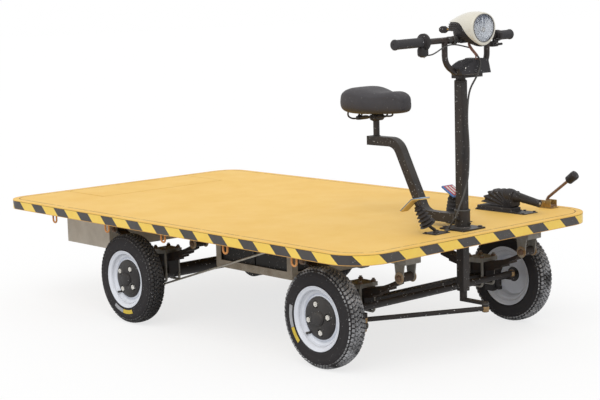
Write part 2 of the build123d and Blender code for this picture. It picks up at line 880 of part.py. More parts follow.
def wheel(x, side, y):
    """A rim with its disc, domed hub plate, oval cap and nuts in pockets, outer face towards side."""
    face = rim_width / 2 - disc_recess
    disc_top = face - hub_plate_t
    disc_low = disc_top - disc_t
    disc = rod((0, disc_low, 0), (0, disc_top, 0), rim_well_r - rim_sheet / 2)
    cap = Plane(origin=(0, face + hub_rise, 0), x_dir=(1, 0, 0), z_dir=(0, 1, 0)) * Ellipse(*hub_cap_radii)
    cap = extrude(cap, hub_cap_rise)
    cap = chamfer(cap.faces().sort_by(Axis.Y)[-1].edges(), hub_cap_chamfer)
    whole = joined([rim_barrel(), disc, hub_plate(face), cap])
    floor = face + lug_pocket_rise
    first_lug = 0 if x > 0 else math.pi / lug_count
    for index in range(lug_count):
        angle = first_lug + 2 * math.pi * index / lug_count
        lug_x = math.cos(angle) * lug_pcd / 2
        lug_z = math.sin(angle) * lug_pcd / 2
        whole = whole - rod((lug_x, floor, lug_z), (lug_x, face + hub_rise + overrun, lug_z), lug_pocket_r)
        foot = Plane(origin=(lug_x, floor, lug_z), x_dir=(1, 0, 0), z_dir=(0, 1, 0))
        whole = whole + extrude(foot * RegularPolygon(lug_r, lug_sides), lug_height)
    bore_r = (stub_r if x > 0 else spindle_r) + axle_gap
    bore_top = disc_low + hub_plate_t
    whole = whole - rod((0, disc_low - overrun, 0), (0, bore_top, 0), bore_r)
    if side < 0:
        whole = mirrored(whole)
    return Pos(x, side * y, axle_z) * whole


# Each wheel: name, axle X, side, wheel centre Y
wheel_table = [
    ("front_left", front_x, 1, front_wheel_y),
    ("front_right", front_x, -1, front_wheel_y),
    ("rear_left", rear_x, 1, rear_wheel_y),
    ("rear_right", rear_x, -1, rear_wheel_y),
]
for name, x, side, y in wheel_table:
    parts["tyre_" + name] = tyre(x, side * y)
    parts["wheel_" + name] = wheel(x, side, y)

# Steering column, handlebar and lamp


def column_sleeve():
    """The bearing sleeve through the deck, on its welded base plate."""
    low = deck_top - sleeve_below
    high = deck_top + sleeve_above
    half = base_plate_side / 2
    plate = block((column_x - half, column_x + half), (-half, half), (deck_top, deck_top + base_plate_t))
    sleeve = upright(column_x, 0, low, high, sleeve_r) + plate
    return sleeve - upright(column_x, 0, low - overrun, high + overrun, sleeve_bore_r)


def steering_tube():
    """A square tube on a round stub, with the pitman arm below the deck."""
    half = column_side / 2
    tube = block((column_x - half, column_x + half), (-half, half), (column_foot_z, column_top_z))
    tube = fillet(tube.edges().filter_by(Axis.Z), column_wall)
    stub = upright(column_x, 0, arm_low, column_foot_z, column_stub_r)
    half_arm = steer_arm_width / 2
    arm = block((column_x, column_x + drag_arm), (-half_arm, half_arm), (arm_low, arm_high))
    arm = arm + upright(column_x + drag_arm, 0, arm_low, arm_high, half_arm)
    stud = upright(column_x + drag_arm, 0, arm_low - ball_lift - ball_height, arm_high, stud_r)
    size_x, size_y, size_z = clamp_plate
    plate = block(
        (column_x - half, column_x - half + size_x),
        (clamp_plate_shift - size_y / 2, clamp_plate_shift + size_y / 2),
        (clamp_plate_z, clamp_plate_z + size_z),
    )
    neck = upright(column_x, 0, column_top_z, riser_z + bar_r, column_neck_r)
    neck = neck - rod((bar_x, -riser_foot_y, riser_z), (bar_x, riser_foot_y, riser_z), bar_r + fit_gap)
    return joined([tube, stub, arm, stud, plate, neck])


# Places along the bar are measured from the truck's middle plane
bar_right = -bar_half - bar_shift
bar_left = bar_half - bar_shift


def on_bar(shape):
    """A shape drawn about the Y axis, set on the tilted bar."""
    return Pos(bar_x, 0, bar_z) * Rot(bar_tilt, 0, 0) * shape


def bar_ring(start, end, radius):
    """A round length about the Y axis, to be set on the bar."""
    return rod((0, start, 0), (0, end, 0), radius)


def riser(radius):
    """The U-shaped tube under the bar."""
    points = [
        (bar_x, -riser_top_y, bar_z),
        (bar_x, -riser_top_y, riser_knee_z),
        (bar_x, -riser_foot_y, riser_z),
        (bar_x, riser_foot_y, riser_z),
        (bar_x, riser_top_y, riser_knee_z),
        (bar_x, riser_top_y, bar_z),
    ]
    return bent_bar(points, riser_bend_r, Circle(radius))


straight_bar = on_bar(bar_ring(bar_right, bar_left, bar_r))


def grip(inner, length):
    """A closed rubber sleeve over the bar's end, from inner outwards."""
    outward = math.copysign(1, inner)
    sleeve = bar_ring(inner, inner + outward * length, grip_r)
    return sleeve - bar_ring(inner - outward * overrun, inner + outward * (length - grip_wall), bar_r)


def throttle():
    """A round barrel with a thin disc, and a box below for the cable."""
    start = bar_right - grip_wall + right_grip_length + fit_gap
    end = throttle_disc_y + throttle_disc_t / 2
    barrel = bar_ring(start, end, throttle_r)
    disc = bar_ring(end - throttle_disc_t, end, throttle_disc_r)
    size_x, size_y, size_z = throttle_box
    box = block((-size_x / 2, size_x / 2), (start, start + size_y), (-size_z, 0))
    box = chamfer(box.edges().filter_by(Axis.X).group_by(Axis.Z)[0], throttle_box_chamfer)
    return joined([barrel, disc, box]) - bar_ring(start - overrun, start + size_y + overrun, bar_r)


def switches():
    """A rounded pod on the bar with a bracket below it."""
    size_x, size_y, size_z = switch_pod
    end = bar_left + grip_wall - left_grip_length - fit_gap
    pod = block((-size_x / 2, size_x / 2), (end - size_y, end), (-size_z / 2, size_z / 2))
    pod = fillet(pod.edges().filter_by(Axis.Y), size_y / 4)
    bracket_x, bracket_y, bracket_z = switch_bracket
    start = end - size_y / 2 - bracket_y
    bracket = block((-bracket_x / 2, bracket_x / 2), (start, start + bracket_y), (-bracket_z, 0))
    return pod + bracket - bar_ring(start - overrun, end + overrun, bar_r)


def hand_controls():
    """A long grip and the twist throttle on the right, the switches and a short grip on the left."""
    right_grip = grip(bar_right - grip_wall + right_grip_length, right_grip_length)
    left_grip = grip(bar_left + grip_wall - left_grip_length, left_grip_length)
    return group([on_bar(piece) for piece in (right_grip, throttle(), switches(), left_grip)])


def dash_housing():
    """An arched cover over the riser's foot, hollow and open at its back."""
    low = clamp_plate_z + clamp_plate[2] + fit_gap
    right_z, left_z = [low + share * dash_rise for share in dash_shoulder_shares]
    back = column_x + dash_behind

    def arch(inset, floor, depth):
        left = dash_left - inset
        right = -dash_right + inset
        edges = [
            Polyline((right, right_z), (right + dash_toe, floor), (left, floor), (left - dash_toe, left_z - inset)),
            ThreePointArc(
                (left - dash_toe, left_z - inset),
                (dash_toe, low + dash_rise - inset),
                (right, right_z),
            ),
        ]
        outline = Plane(origin=(back, 0, 0), x_dir=(0, 1, 0), z_dir=(1, 0, 0)) * make_face(Curve() + edges)
        return extrude(outline, depth)

    cover = arch(0, low, dash_depth)
    hollow = Pos(-overrun, 0, 0) * arch(dash_wall, low + dash_wall, dash_depth + overrun - dash_wall)
    neck = upright(column_x, 0, low - overrun, riser_z + dash_rise, column_neck_r + fit_gap)
    return cover - hollow - riser(bar_r + fit_gap) - neck


lamp_axis = Location((lamp_front_x, 0, lamp_z), (0, 0, 90))


def lamp_turned(points):
    """A form turned about the lamp's axis, from points of distance behind the bezel and radius."""
    return lamp_axis * revolve(make_face(Polyline(*[(radius, behind) for behind, radius in points], close=True)), Axis.Y)


def hood_form(inset):
    """The whole outer form of the hood, pulled in by inset."""
    rings = [(x_share * lamp_length, r_share * lamp_r - inset) for x_share, r_share in hood_ring_shares]
    return lamp_turned([(0, 0)] + rings + [(lamp_length, 0)])


def below_hood():
    """What lies under the hood's swept lower edge, behind the bezel."""
    edge_z = lamp_z + hood_edge_rise
    start_x = lamp_front_x - hood_edge_start
    middle = (lamp_front_x - hood_edge_middle[0], lamp_z + hood_edge_middle[1])
    back_x = lamp_front_x - lamp_length - overrun
    bezel_back_x = lamp_front_x - bezel_depth
    low = lamp_z - lamp_r
    edges = [
        ThreePointArc((start_x, edge_z), middle, (bezel_back_x, low)),
        Polyline(
            (bezel_back_x, low), (bezel_back_x, low - overrun),
            (back_x, low - overrun), (back_x, edge_z), (start_x, edge_z),
        ),
    ]
    side = Plane.XZ * make_face(Curve() + edges)
    return extrude(side, lamp_r + overrun, both=True)


def headlamp_shell():
    """A bullet-shaped hood with a bowl behind its bezel, cut away in a sweep below."""
    bowl = Pos(0, 0, lens_lift) * lamp_turned([
        (-overrun, 0), (-overrun, lens_r), (lens_recess, lens_r), (bowl_depth, bowl_floor_r), (bowl_depth, 0)
    ])
    return hood_form(0) - bowl - below_hood()


def headlamp_lens():
    """A domed clear lens set in the bezel."""
    radius = lens_r - fit_gap
    back = lens_recess - fit_gap
    top = back - lens_rim_t - lens_bulge
    middle_r, inner_r = [share * radius for share in lens_ring_shares]
    middle = top + lens_bulge * lens_ring_shares[0]**2
    inner = top + lens_bulge * lens_ring_shares[1]**2
    points = [(back, 0), (back, radius), (back - lens_rim_t, radius), (middle, middle_r), (inner, inner_r), (top, 0)]
    return Pos(0, 0, lens_lift) * lamp_turned(points)


def headlamp_body():
    """The lamp's black lower body, filling the hood's cut, on a clamp round the bar."""
    back_x = lamp_front_x - lamp_body_back
    neck_x = lamp_front_x - lamp_neck[0]
    neck_z = lamp_z - lamp_neck[1]
    belly_x = lamp_front_x - lamp_belly[0]
    belly_z = lamp_z - lamp_belly[1]
    low = lamp_z - lamp_r
    front = lamp_front_x - bezel_depth
    outline = [
        (back_x, lamp_z + lamp_r), (back_x, lamp_z - lamp_body_low), (neck_x, lamp_z - lamp_body_low),
        (neck_x, neck_z), (belly_x, belly_z), (front, low), (front, lamp_z + lamp_r),
    ]
    side = Plane.XZ * make_face(Polyline(*outline, close=True))
    body = hood_form(lamp_body_inset) & below_hood() & extrude(side, lamp_r, both=True)
    ring = on_bar(bar_ring(-lamp_clamp_half, lamp_clamp_half, bar_r + lamp_clamp_wall))
    neck = block((neck_x, belly_x - bar_r), (-lamp_clamp_half, lamp_clamp_half), (bar_z, lamp_z - lamp_body_low))
    return joined([body, ring, neck]) - straight_bar


# Wiring: points of each route, laid by hand
column_route = [
    (1077, -9, 1169.5), (1077, -10, 1150), (1084, -1, 1131), (1092, 13, 1113), (1096, 28, 1096), (1097, 31, 1070),
    (1096, 18, 1042), (1088, 10, 1021), (1071, 3, 990), (1061, 1, 950), (1056, 0, 872), (1056, 9, 780),
    (1057, 5, 705), (1056, 0, 650), (1056, -22, 597), (1053, -40, 562),
]
deck_route = [(1052, -44, 556), (1051, -52, 533), (1035, -63, 498), (1013, -67, 468)]
throttle_route = [
    (1056, -207.5, 1119), (1060, -191, 1118), (1065, -166, 1128), (1070, -142, 1142), (1072, -116, 1150),
    (1072, -88, 1152), (1073, -60, 1149), (1077, -34, 1143), (1081, -11, 1137.5),
]


parts["column_sleeve"] = column_sleeve()
parts["steering_tube"] = steering_tube()
parts["handlebar"] = straight_bar + riser(bar_r)
parts["hand_controls"] = hand_controls()
parts["dash_housing"] = dash_housing()
parts["headlamp_shell"] = headlamp_shell()
parts["headlamp_lens"] = headlamp_lens()
parts["headlamp_body"] = headlamp_body()
parts["column_harness"] = cable(column_route, harness_r)
parts["deck_harness"] = cable(deck_route, harness_r)
parts["throttle_cable"] = cable(throttle_route, throttle_cable_r)

# Seat


def seat_arm():
    """A square tube that rises from the column's foot to the seat post."""
    plate_back = column_x - sleeve_r - fit_gap
    points = [
        (plate_back, 0, arm_low_z),
        (arm_knee_x, 0, arm_low_z),
        (arm_shoulder_x, 0, arm_top_z),
        (arm_back_x, 0, arm_top_z),
    ]
    tube = bent_bar(points, arm_bend_r, Rectangle(arm_side, arm_side))
    return tube


def seat_post():
    """A round post with the clamp that grips the saddle's rails."""
    low = arm_top_z + arm_side / 2
    post = upright(post_x, 0, low, post_top_z, post_r)
    clamp = block(
        (post_x - arm_side / 2, post_x + arm_side / 2),
        (-arm_side / 2 - 2 * saddle_rail_r, arm_side / 2 + 2 * saddle_rail_r),
        (post_top_z, saddle_rail_z + 2 * saddle_rail_r),
    )
    return post + clamp


def saddle():
    """A broad padded saddle with a narrow nose."""
    waist_x = (saddle_back_x + saddle_nose_x) / 2 + saddle_nose_half
    quarter_x = (saddle_back_x + waist_x) / 2
    rear_half = saddle_rear_half * saddle_rear_share
    nose_start_x = saddle_nose_x - saddle_nose_half
    top_edge = [
        Line((saddle_back_x, -rear_half), (saddle_back_x, rear_half)),
        ThreePointArc((saddle_back_x, rear_half), (quarter_x, saddle_rear_half), (waist_x, saddle_waist_half)),
        Line((waist_x, saddle_waist_half), (nose_start_x, saddle_nose_half)),
        ThreePointArc((nose_start_x, saddle_nose_half), (saddle_nose_x, 0), (nose_start_x, -saddle_nose_half)),
        Line((nose_start_x, -saddle_nose_half), (waist_x, -saddle_waist_half)),
        ThreePointArc((waist_x, -saddle_waist_half), (quarter_x, -saddle_rear_half), (saddle_back_x, -rear_half)),
    ]
    plan = Pos(0, 0, saddle_base_z) * make_face(Curve() + top_edge)
    body = extrude(plan, saddle_rear_z - saddle_base_z)
    side = [
        Line((saddle_back_x - overrun, saddle_base_z), (saddle_nose_x + overrun, saddle_base_z)),
        Line((saddle_nose_x + overrun, saddle_base_z), (saddle_nose_x + overrun, saddle_nose_z)),
        ThreePointArc(
            (saddle_nose_x + overrun, saddle_nose_z),
            (waist_x, saddle_dip_z),
            (saddle_back_x - overrun, saddle_rear_z),
        ),
        Line((saddle_back_x - overrun, saddle_rear_z), (saddle_back_x - overrun, saddle_base_z)),
    ]
    profile = Plane.XZ * make_face(Curve() + side)
    return body & extrude(profile, saddle_rear_half * 2, both=True)


def saddle_rails():
    """Bent wire rails and the spring plate below the saddle."""
    rails = []
    for side in (-1, 1):
        y = side * arm_side / 2
        points = [
            (saddle_back_x + arm_side, y, saddle_base_z),
            (saddle_back_x + arm_side, y, saddle_rail_z),
            (saddle_nose_x - 2 * arm_side, y, saddle_rail_z),
            (saddle_nose_x - 2 * arm_side, y, saddle_base_z),
        ]
        rails.append(bent_bar(points, saddle_rail_r * 2, thin_section(saddle_rail_r)))
    return rails


parts["seat_arm"] = seat_arm()
rails = saddle_rails()
clamp = seat_post()
for rail in rails:
    clamp = clamp + rail
parts["seat_post"] = clamp
parts["saddle"] = saddle()

# Pedals, handbrake and gear lever


def gaiter(foot, top):
    """A pedal's folded rubber boot between two points."""
    run = Vector(*top) - Vector(*foot)
    step = run.length / gaiter_folds
    points = [(0, 0)]
    for fold in range(gaiter_folds):
        share = fold / gaiter_folds
        radius = pedal_gaiter_foot_r + (pedal_gaiter_neck_r - pedal_gaiter_foot_r) * share
        points.append((radius, fold * step))
        points.append((radius * gaiter_neck_share, (fold + gaiter_fold_share) * step))
    points.append((pedal_gaiter_neck_r, gaiter_folds * step))
    points.append((0, gaiter_folds * step))
    section = Plane.XZ * make_face(Polyline(*points, close=True))
    return Plane(origin=foot, z_dir=run) * revolve(section, Axis.Z)


def pedal(foot, pad, tilt, width):
    """A tilted plate on a rod that comes up through the deck, and the gaiter under the plate."""
    start = Vector(column_x - foot[0], foot[1], deck_top)
    end = Vector(column_x - pad[0], pad[1], pad[2])
    low, high = [start + (end - start) * share for share in pedal_gaiter_shares]
    under = Pos(start.X, start.Y, deck_top - overrun / 2) * Box(4 * pedal_rod_r, 4 * pedal_rod_r, overrun)
    stem = rod(start, end, pedal_rod_r) - under
    turned = Pos(end) * Rot(0, -tilt, 0)
    boot = gaiter(low, high) - rod(start, end, pedal_rod_r + fit_gap)
    return stem + turned * Box(pad_length, width, pedal_t), boot, turned


accelerator, accelerator_gaiter, accelerator_plane = pedal(
    accelerator_foot, accelerator_pad, accelerator_tilt, accelerator_width
)
lip_edge = accelerator_plane * Pos(pad_length / 2, 0, 0) * Rot(0, accelerator_tilt, 0)
accelerator = accelerator + lip_edge * Pos(accelerator_lip / 2, 0, 0) * Box(accelerator_lip, accelerator_width, pedal_t)
brake, brake_gaiter, brake_plane = pedal(brake_foot, brake_pad, -brake_tilt, brake_width)
parts["pedals"] = group([accelerator, brake])


def handbrake():
    """A base plate with a plinth, and the lever that leans forward out of its gaiter."""
    half = handbrake_plate_width / 2
    top = deck_top + sheet_t
    plate = block(handbrake_x, (handbrake_y - half, handbrake_y + half), (deck_top, top))
    size_x, size_y, size_z = handbrake_plinth
    plinth_x = (handbrake_x[0] + fit_gap, handbrake_x[0] + size_x)
    plinth = block(plinth_x, (handbrake_y - size_y / 2, handbrake_y + size_y / 2), (top, top + size_z))
    start = (column_x - handbrake_lever_behind, handbrake_y, handbrake_lever_z)
    lever = rod(start, (handbrake_grip_x, handbrake_y, handbrake_grip_z), handbrake_grip_r)
    return plate + plinth, lever


def bellows():
    """A fan of rubber folds on the plinth, spread from the plinth's front."""
    pivot_x = handbrake_x[0] + handbrake_plinth[0]
    pivot_z = deck_top + sheet_t + handbrake_plinth[2]
    folds = [bellows_ridges[0]]
    for (angle, radius), (next_angle, next_radius) in zip(bellows_ridges, bellows_ridges[1:]):
        folds.append(((angle + next_angle) / 2, (radius + next_radius) / 2 - bellows_valley))
        folds.append((next_angle, next_radius))
    outline = [(pivot_x, pivot_z)]
    for angle, radius in folds:
        turn = math.radians(angle)
        outline.append((pivot_x + radius * math.cos(turn), pivot_z + radius * math.sin(turn)))
    outline.append((outline[-1][0], pivot_z))
    side = Plane.XZ.offset(-handbrake_y) * make_face(Polyline(*outline, close=True))
    return extrude(side, bellows_width / 2, both=True)


brake_plate, brake_lever = handbrake()
parts["gaiters"] = group([
    accelerator_gaiter,
    brake_gaiter,
    bellows() - brake_lever,
])
parts["handbrake"] = group([brake_plate, brake_lever])


def gear_lever():
    """A bent rod on a bracket at the deck's left edge, with a tapered knob."""
    size_x, size_y, size_z = gear_bracket
    y = half_width - gear_lever_inset
    bracket = block(
        (gear_foot_x - size_x / 2, gear_foot_x + size_x / 2),
        (y - size_y / 2, y + size_y / 2),
        (deck_top, deck_top + size_z),
    )
    knee = Vector(gear_foot_x, y, gear_bend_z)
    end = Vector(gear_knob_x, y, gear_knob_z)
    stem = bent_bar([(gear_foot_x, y, deck_top), tuple(knee), tuple(end)], gear_bend_r, Circle(gear_rod_r))
    rings = [(r_share * gear_knob_r, z_share * gear_knob_length) for z_share, r_share in gear_knob_shares]
    outline = make_face(Polyline((0, 0), *rings, (0, gear_knob_length), close=True))
    knob = revolve(Plane.XZ * outline, Axis.Z)
    along = (end - knee).normalized()
    foot = end - along * gear_knob_length / 2
    return joined([bracket, stem, Plane(origin=foot, z_dir=along) * knob])


parts["gear_lever"] = gear_lever()

os.makedirs("parts", exist_ok=True)
for name, shape in parts.items():
    export_step(shape, "parts/" + name + ".step")
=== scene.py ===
# Electric platform truck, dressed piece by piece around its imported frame. Lengths are in metres.
import math

import bmesh
import bpy
from mathutils import Matrix, Vector


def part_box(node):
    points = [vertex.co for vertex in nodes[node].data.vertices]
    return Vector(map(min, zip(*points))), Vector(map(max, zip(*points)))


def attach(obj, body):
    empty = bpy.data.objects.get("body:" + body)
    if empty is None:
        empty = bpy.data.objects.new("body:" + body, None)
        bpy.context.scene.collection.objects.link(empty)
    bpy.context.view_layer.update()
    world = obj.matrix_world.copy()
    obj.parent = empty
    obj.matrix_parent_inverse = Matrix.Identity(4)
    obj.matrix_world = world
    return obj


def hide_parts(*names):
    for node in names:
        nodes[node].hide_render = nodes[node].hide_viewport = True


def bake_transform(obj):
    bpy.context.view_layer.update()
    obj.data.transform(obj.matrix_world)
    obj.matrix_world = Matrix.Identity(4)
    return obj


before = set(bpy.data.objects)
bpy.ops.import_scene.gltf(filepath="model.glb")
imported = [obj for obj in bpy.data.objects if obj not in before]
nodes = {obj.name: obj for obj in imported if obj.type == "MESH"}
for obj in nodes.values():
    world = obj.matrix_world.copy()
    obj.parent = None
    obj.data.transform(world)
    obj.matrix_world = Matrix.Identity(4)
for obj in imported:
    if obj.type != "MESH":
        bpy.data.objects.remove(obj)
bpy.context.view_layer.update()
scene = bpy.context.scene

# Studio: a white floor that keeps the truck's shadow, a pale world and one broad overhead sun.
# The camera stands at a person's eye level in front of the truck's right front corner.
camera_place = Vector((4.643, -3.9986, 1.3628))
camera_turn = math.radians(48.5224)
camera_dip = math.radians(8.1947)
camera_roll = math.radians(-1.6582)
lens_length = 87.655
sensor_width = 36.0
sight_limit = 200.0
white = (1, 1, 1, 1)
floor_bounce = (0.62, 0.62, 0.63, 1)
sky_strength = 0.74
sun_strength = 1.15
sun_spread = math.radians(50)
sun_tilt = (math.radians(34), math.radians(26), 0)
floor_reach = 40.0
floor_glow = 0.74


def make_camera():
    data = bpy.data.cameras.new("camera")
    data.lens = lens_length
    data.sensor_width = sensor_width
    data.clip_end = sight_limit
    back = Vector((
        math.sin(camera_turn) * math.cos(camera_dip),
        -math.cos(camera_turn) * math.cos(camera_dip),
        math.sin(camera_dip),
    ))
    right = Vector((math.cos(camera_turn), math.sin(camera_turn), 0))
    up = back.cross(right)
    tilted_right = right * math.cos(camera_roll) + up * math.sin(camera_roll)
    tilted_up = up * math.cos(camera_roll) - right * math.sin(camera_roll)
    turn = Matrix((tilted_right, tilted_up, back)).transposed().to_4x4()
    camera = bpy.data.objects.new("camera", data)
    scene.collection.objects.link(camera)
    camera.matrix_world = Matrix.Translation(camera_place) @ turn
    scene.camera = camera


def put(tree, kind, inputs=None, **settings):
    """A shader node whose inputs are values or other nodes' outputs."""
    node = tree.nodes.new("ShaderNode" + kind)
    for key, value in settings.items():
        setattr(node, key, value)
    for key, value in (inputs or {}).items():
        if isinstance(value, bpy.types.NodeSocket):
            tree.links.new(value, node.inputs[key])
        else:
            node.inputs[key].default_value = value
    return node


def maths(tree, operation, *values, clamp=False):
    """The output of one Math node."""
    node = put(tree, "Math", dict(enumerate(values)), operation=operation, use_clamp=clamp)
    return node.outputs[0]


def seen_ray(tree):
    """One for rays that show the background: camera, glossy and transmission rays."""
    rays = put(tree, "LightPath").outputs
    either = maths(tree, "MAXIMUM", rays["Is Camera Ray"], rays["Is Glossy Ray"])
    return maths(tree, "MAXIMUM", either, rays["Is Transmission Ray"])


def make_world():
    world = bpy.data.worlds.new("studio")
    scene.world = world
    world.use_nodes = True
    tree = world.node_tree
    tree.nodes.clear()
    extra = maths(tree, "MULTIPLY", seen_ray(tree), 1.0 - sky_strength)
    strength = maths(tree, "ADD", extra, sky_strength)
    background = put(tree, "Background", {"Color": white, "Strength": strength})
    output = put(tree, "OutputWorld")
    tree.links.new(background.outputs[0], output.inputs["Surface"])


def make_floor():
    shape = bmesh.new()
    bmesh.ops.create_grid(shape, x_segments=1, y_segments=1, size=floor_reach)
    mesh = bpy.data.meshes.new("floor")
    shape.to_mesh(mesh)
    shape.free()
    material = bpy.data.materials.new("white_floor")
    material.use_nodes = True
    tree = material.node_tree
    tree.nodes.clear()
    seen = seen_ray(tree)
    clean = put(tree, "BsdfDiffuse", {"Color": white})
    dull = put(tree, "BsdfDiffuse", {"Color": floor_bounce})
    glow = put(tree, "Emission", {"Color": white, "Strength": 1.0})
    pale = put(tree, "MixShader", {0: floor_glow, 1: clean.outputs[0], 2: glow.outputs[0]})
    surface = put(tree, "MixShader", {0: seen, 1: dull.outputs[0], 2: pale.outputs[0]})
    output = put(tree, "OutputMaterial")
    tree.links.new(surface.outputs[0], output.inputs["Surface"])
    mesh.materials.append(material)
    floor = bpy.data.objects.new("floor", mesh)
    scene.collection.objects.link(floor)


def make_sun():
    data = bpy.data.lights.new("sun", "SUN")
    data.energy = sun_strength
    data.angle = sun_spread
    sun = bpy.data.objects.new("sun", data)
    scene.collection.objects.link(sun)
    sun.rotation_euler = sun_tilt


make_camera()
make_world()
make_floor()
make_sun()
scene.view_settings.view_transform = "Standard"

# Deck: pressed steel sheets on a welded channel frame, sprayed warm yellow and filmed with fine dust.
# The same dust lies on every finish, so its node group is made here, with each finish's own amounts.


def rgb(red, green, blue):
    """A colour given as it shows on a screen, from 0 to 255."""
    linear = []
    for value in (red, green, blue):
        share = value / 255
        linear.append(share / 12.92 if share <= 0.04045 else ((share + 0.055) / 1.055) ** 2.4)
    return (*linear, 1.0)


worn_inputs = [
    ("Base", "NodeSocketColor", (0.5, 0.5, 0.5, 1)),
    ("Patches", "NodeSocketColor", (0.4, 0.4, 0.4, 1)),
    ("Dust Colour", "NodeSocketColor", (0.6, 0.56, 0.5, 1)),
    ("Patch Scale", "NodeSocketFloat", 12.0),
    ("Patchiness", "NodeSocketFloat", 0.5),
    ("Dust", "NodeSocketFloat", 0.1),
    ("Specks", "NodeSocketFloat", 0.1),
    ("Grain Scale", "NodeSocketFloat", 400.0),
    ("Roughness", "NodeSocketFloat", 0.5),
]
worn_outputs = [
    ("Color", "NodeSocketColor"),
    ("Roughness", "NodeSocketFloat"),
    ("Height", "NodeSocketFloat"),
    ("Patch Mask", "NodeSocketFloat"),
]
drift_scale = 7.0
speck_scale = 170.0
speck_size = 0.34
speck_share = 0.16
speck_colour = (0.8, 0.8, 0.79, 1)
dust_roughness = 0.35
patch_roughness = 0.1
speck_height = 0.8


def mixed(tree, share, first, second):
    """The colour at a share of the way from one colour to another."""
    return put(tree, "Mix", {0: share, 6: first, 7: second}, data_type="RGBA").outputs[2]


def ranged(tree, value, low=0.0, high=1.0, to_low=0.0, to_high=1.0):
    """A value brought from one range to another, and held inside it."""
    limits = {"From Min": low, "From Max": high, "To Min": to_low, "To Max": to_high}
    return put(tree, "MapRange", {"Value": value, **limits}).outputs[0]


def noise(tree, place, scale, detail=2.0, roughness=0.5):
    """Smooth noise, from 0 to 1."""
    inputs = {"Vector": place, "Scale": scale, "Detail": detail, "Roughness": roughness}
    return put(tree, "TexNoise", inputs).outputs["Fac"]


def make_worn_group():
    """Colour patches, dust that lies on upward faces, pale specks and a fine grain."""
    tree = bpy.data.node_groups.new("worn_surface", "ShaderNodeTree")
    for name, kind, value in worn_inputs:
        tree.interface.new_socket(name=name, in_out="INPUT", socket_type=kind).default_value = value
    for name, kind in worn_outputs:
        tree.interface.new_socket(name=name, in_out="OUTPUT", socket_type=kind)
    given = tree.nodes.new("NodeGroupInput").outputs
    result = tree.nodes.new("NodeGroupOutput").inputs
    place = put(tree, "TexCoord").outputs["Object"]
    patch = ranged(tree, noise(tree, place, given["Patch Scale"], detail=5.0, roughness=0.6), 0.36, 0.66)
    colour = mixed(
        tree, maths(tree, "MULTIPLY", patch, given["Patchiness"]), given["Base"], given["Patches"]
    )
    normal = put(tree, "NewGeometry").outputs["Normal"]
    upward = ranged(tree, put(tree, "SeparateXYZ", {0: normal}).outputs["Z"], low=-0.3, to_low=0.25)
    drift = ranged(tree, noise(tree, place, drift_scale, detail=7.0, roughness=0.65), 0.38, 0.7, to_low=0.3)
    dust = maths(tree, "MULTIPLY", maths(tree, "MULTIPLY", upward, drift), given["Dust"], clamp=True)
    colour = mixed(tree, dust, colour, given["Dust Colour"])
    cells = put(tree, "TexVoronoi", {"Vector": place, "Scale": speck_scale})
    draws = put(tree, "SeparateXYZ", {0: cells.outputs["Color"]}).outputs
    reach = maths(tree, "MULTIPLY", draws["X"], speck_size)
    inside = maths(tree, "LESS_THAN", cells.outputs["Distance"], reach)
    kept = maths(tree, "LESS_THAN", draws["Y"], speck_share)
    speck = maths(tree, "MULTIPLY", maths(tree, "MULTIPLY", inside, kept), given["Specks"])
    colour = mixed(tree, speck, colour, speck_colour)
    grain = noise(tree, place, given["Grain Scale"], detail=3.0)
    rough = maths(tree, "ADD", given["Roughness"], maths(tree, "MULTIPLY", dust, dust_roughness))
    rough = maths(tree, "ADD", rough, maths(tree, "MULTIPLY", patch, patch_roughness), clamp=True)
    height = maths(tree, "ADD", grain, maths(tree, "MULTIPLY", speck, speck_height))
    for socket, name in ((colour, "Color"), (rough, "Roughness"), (height, "Height"), (patch, "Patch Mask")):
        tree.links.new(socket, result[name])
    return tree


worn_group = make_worn_group()


def finish(name, base, patches, roughness, relief=0.0002, metallic=0.0, coat=0.0, specular=0.5, **amounts):
    """A material of one Principled shader behind the worn group. Amounts are the group's inputs by name."""
    material = bpy.data.materials.new(name)
    material.use_nodes = True
    tree = material.node_tree
    shader = tree.nodes["Principled BSDF"]
    worn = tree.nodes.new("ShaderNodeGroup")
    worn.node_tree = worn_group
    worn.inputs["Base"].default_value = rgb(*base)
    worn.inputs["Patches"].default_value = rgb(*patches)
    worn.inputs["Roughness"].default_value = roughness
    for key, value in amounts.items():
        worn.inputs[key.replace("_", " ").title()].default_value = value
    bump = put(tree, "Bump", {"Height": worn.outputs["Height"], "Distance": relief})
    for key, value in (("Metallic", metallic), ("Coat Weight", coat), ("Specular IOR Level", specular)):
        shader.inputs[key].default_value = value
    for key, socket in (
        ("Base Color", worn.outputs["Color"]), ("Roughness", worn.outputs["Roughness"]),
        ("Normal", bump.outputs["Normal"]),
    ):
        tree.links.new(socket, shader.inputs[key])
    return material


def dress(material, *names):
    """Gives CAD pieces that stay as they are their real finish."""
    for name in names:
        nodes[name].data.materials.clear()
        nodes[name].data.materials.append(material)


def piece(name, shape, materials, body, replaces=(), sharp=32.0):
    """Turns a bmesh into a finished piece that moves with a body, or with none where no body is given."""
    bmesh.ops.recalc_face_normals(shape, faces=shape.faces)
    mesh = bpy.data.meshes.new(name)
    shape.to_mesh(mesh)
    shape.free()
    for material in materials if isinstance(materials, (list, tuple)) else [materials]:
        mesh.materials.append(material)
    mesh.shade_smooth()
    mesh.set_sharp_from_angle(angle=math.radians(sharp))
    made = bpy.data.objects.new(name, mesh)
    scene.collection.objects.link(made)
    if body:
        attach(made, body)
    if replaces:
        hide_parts(*replaces)
    return made


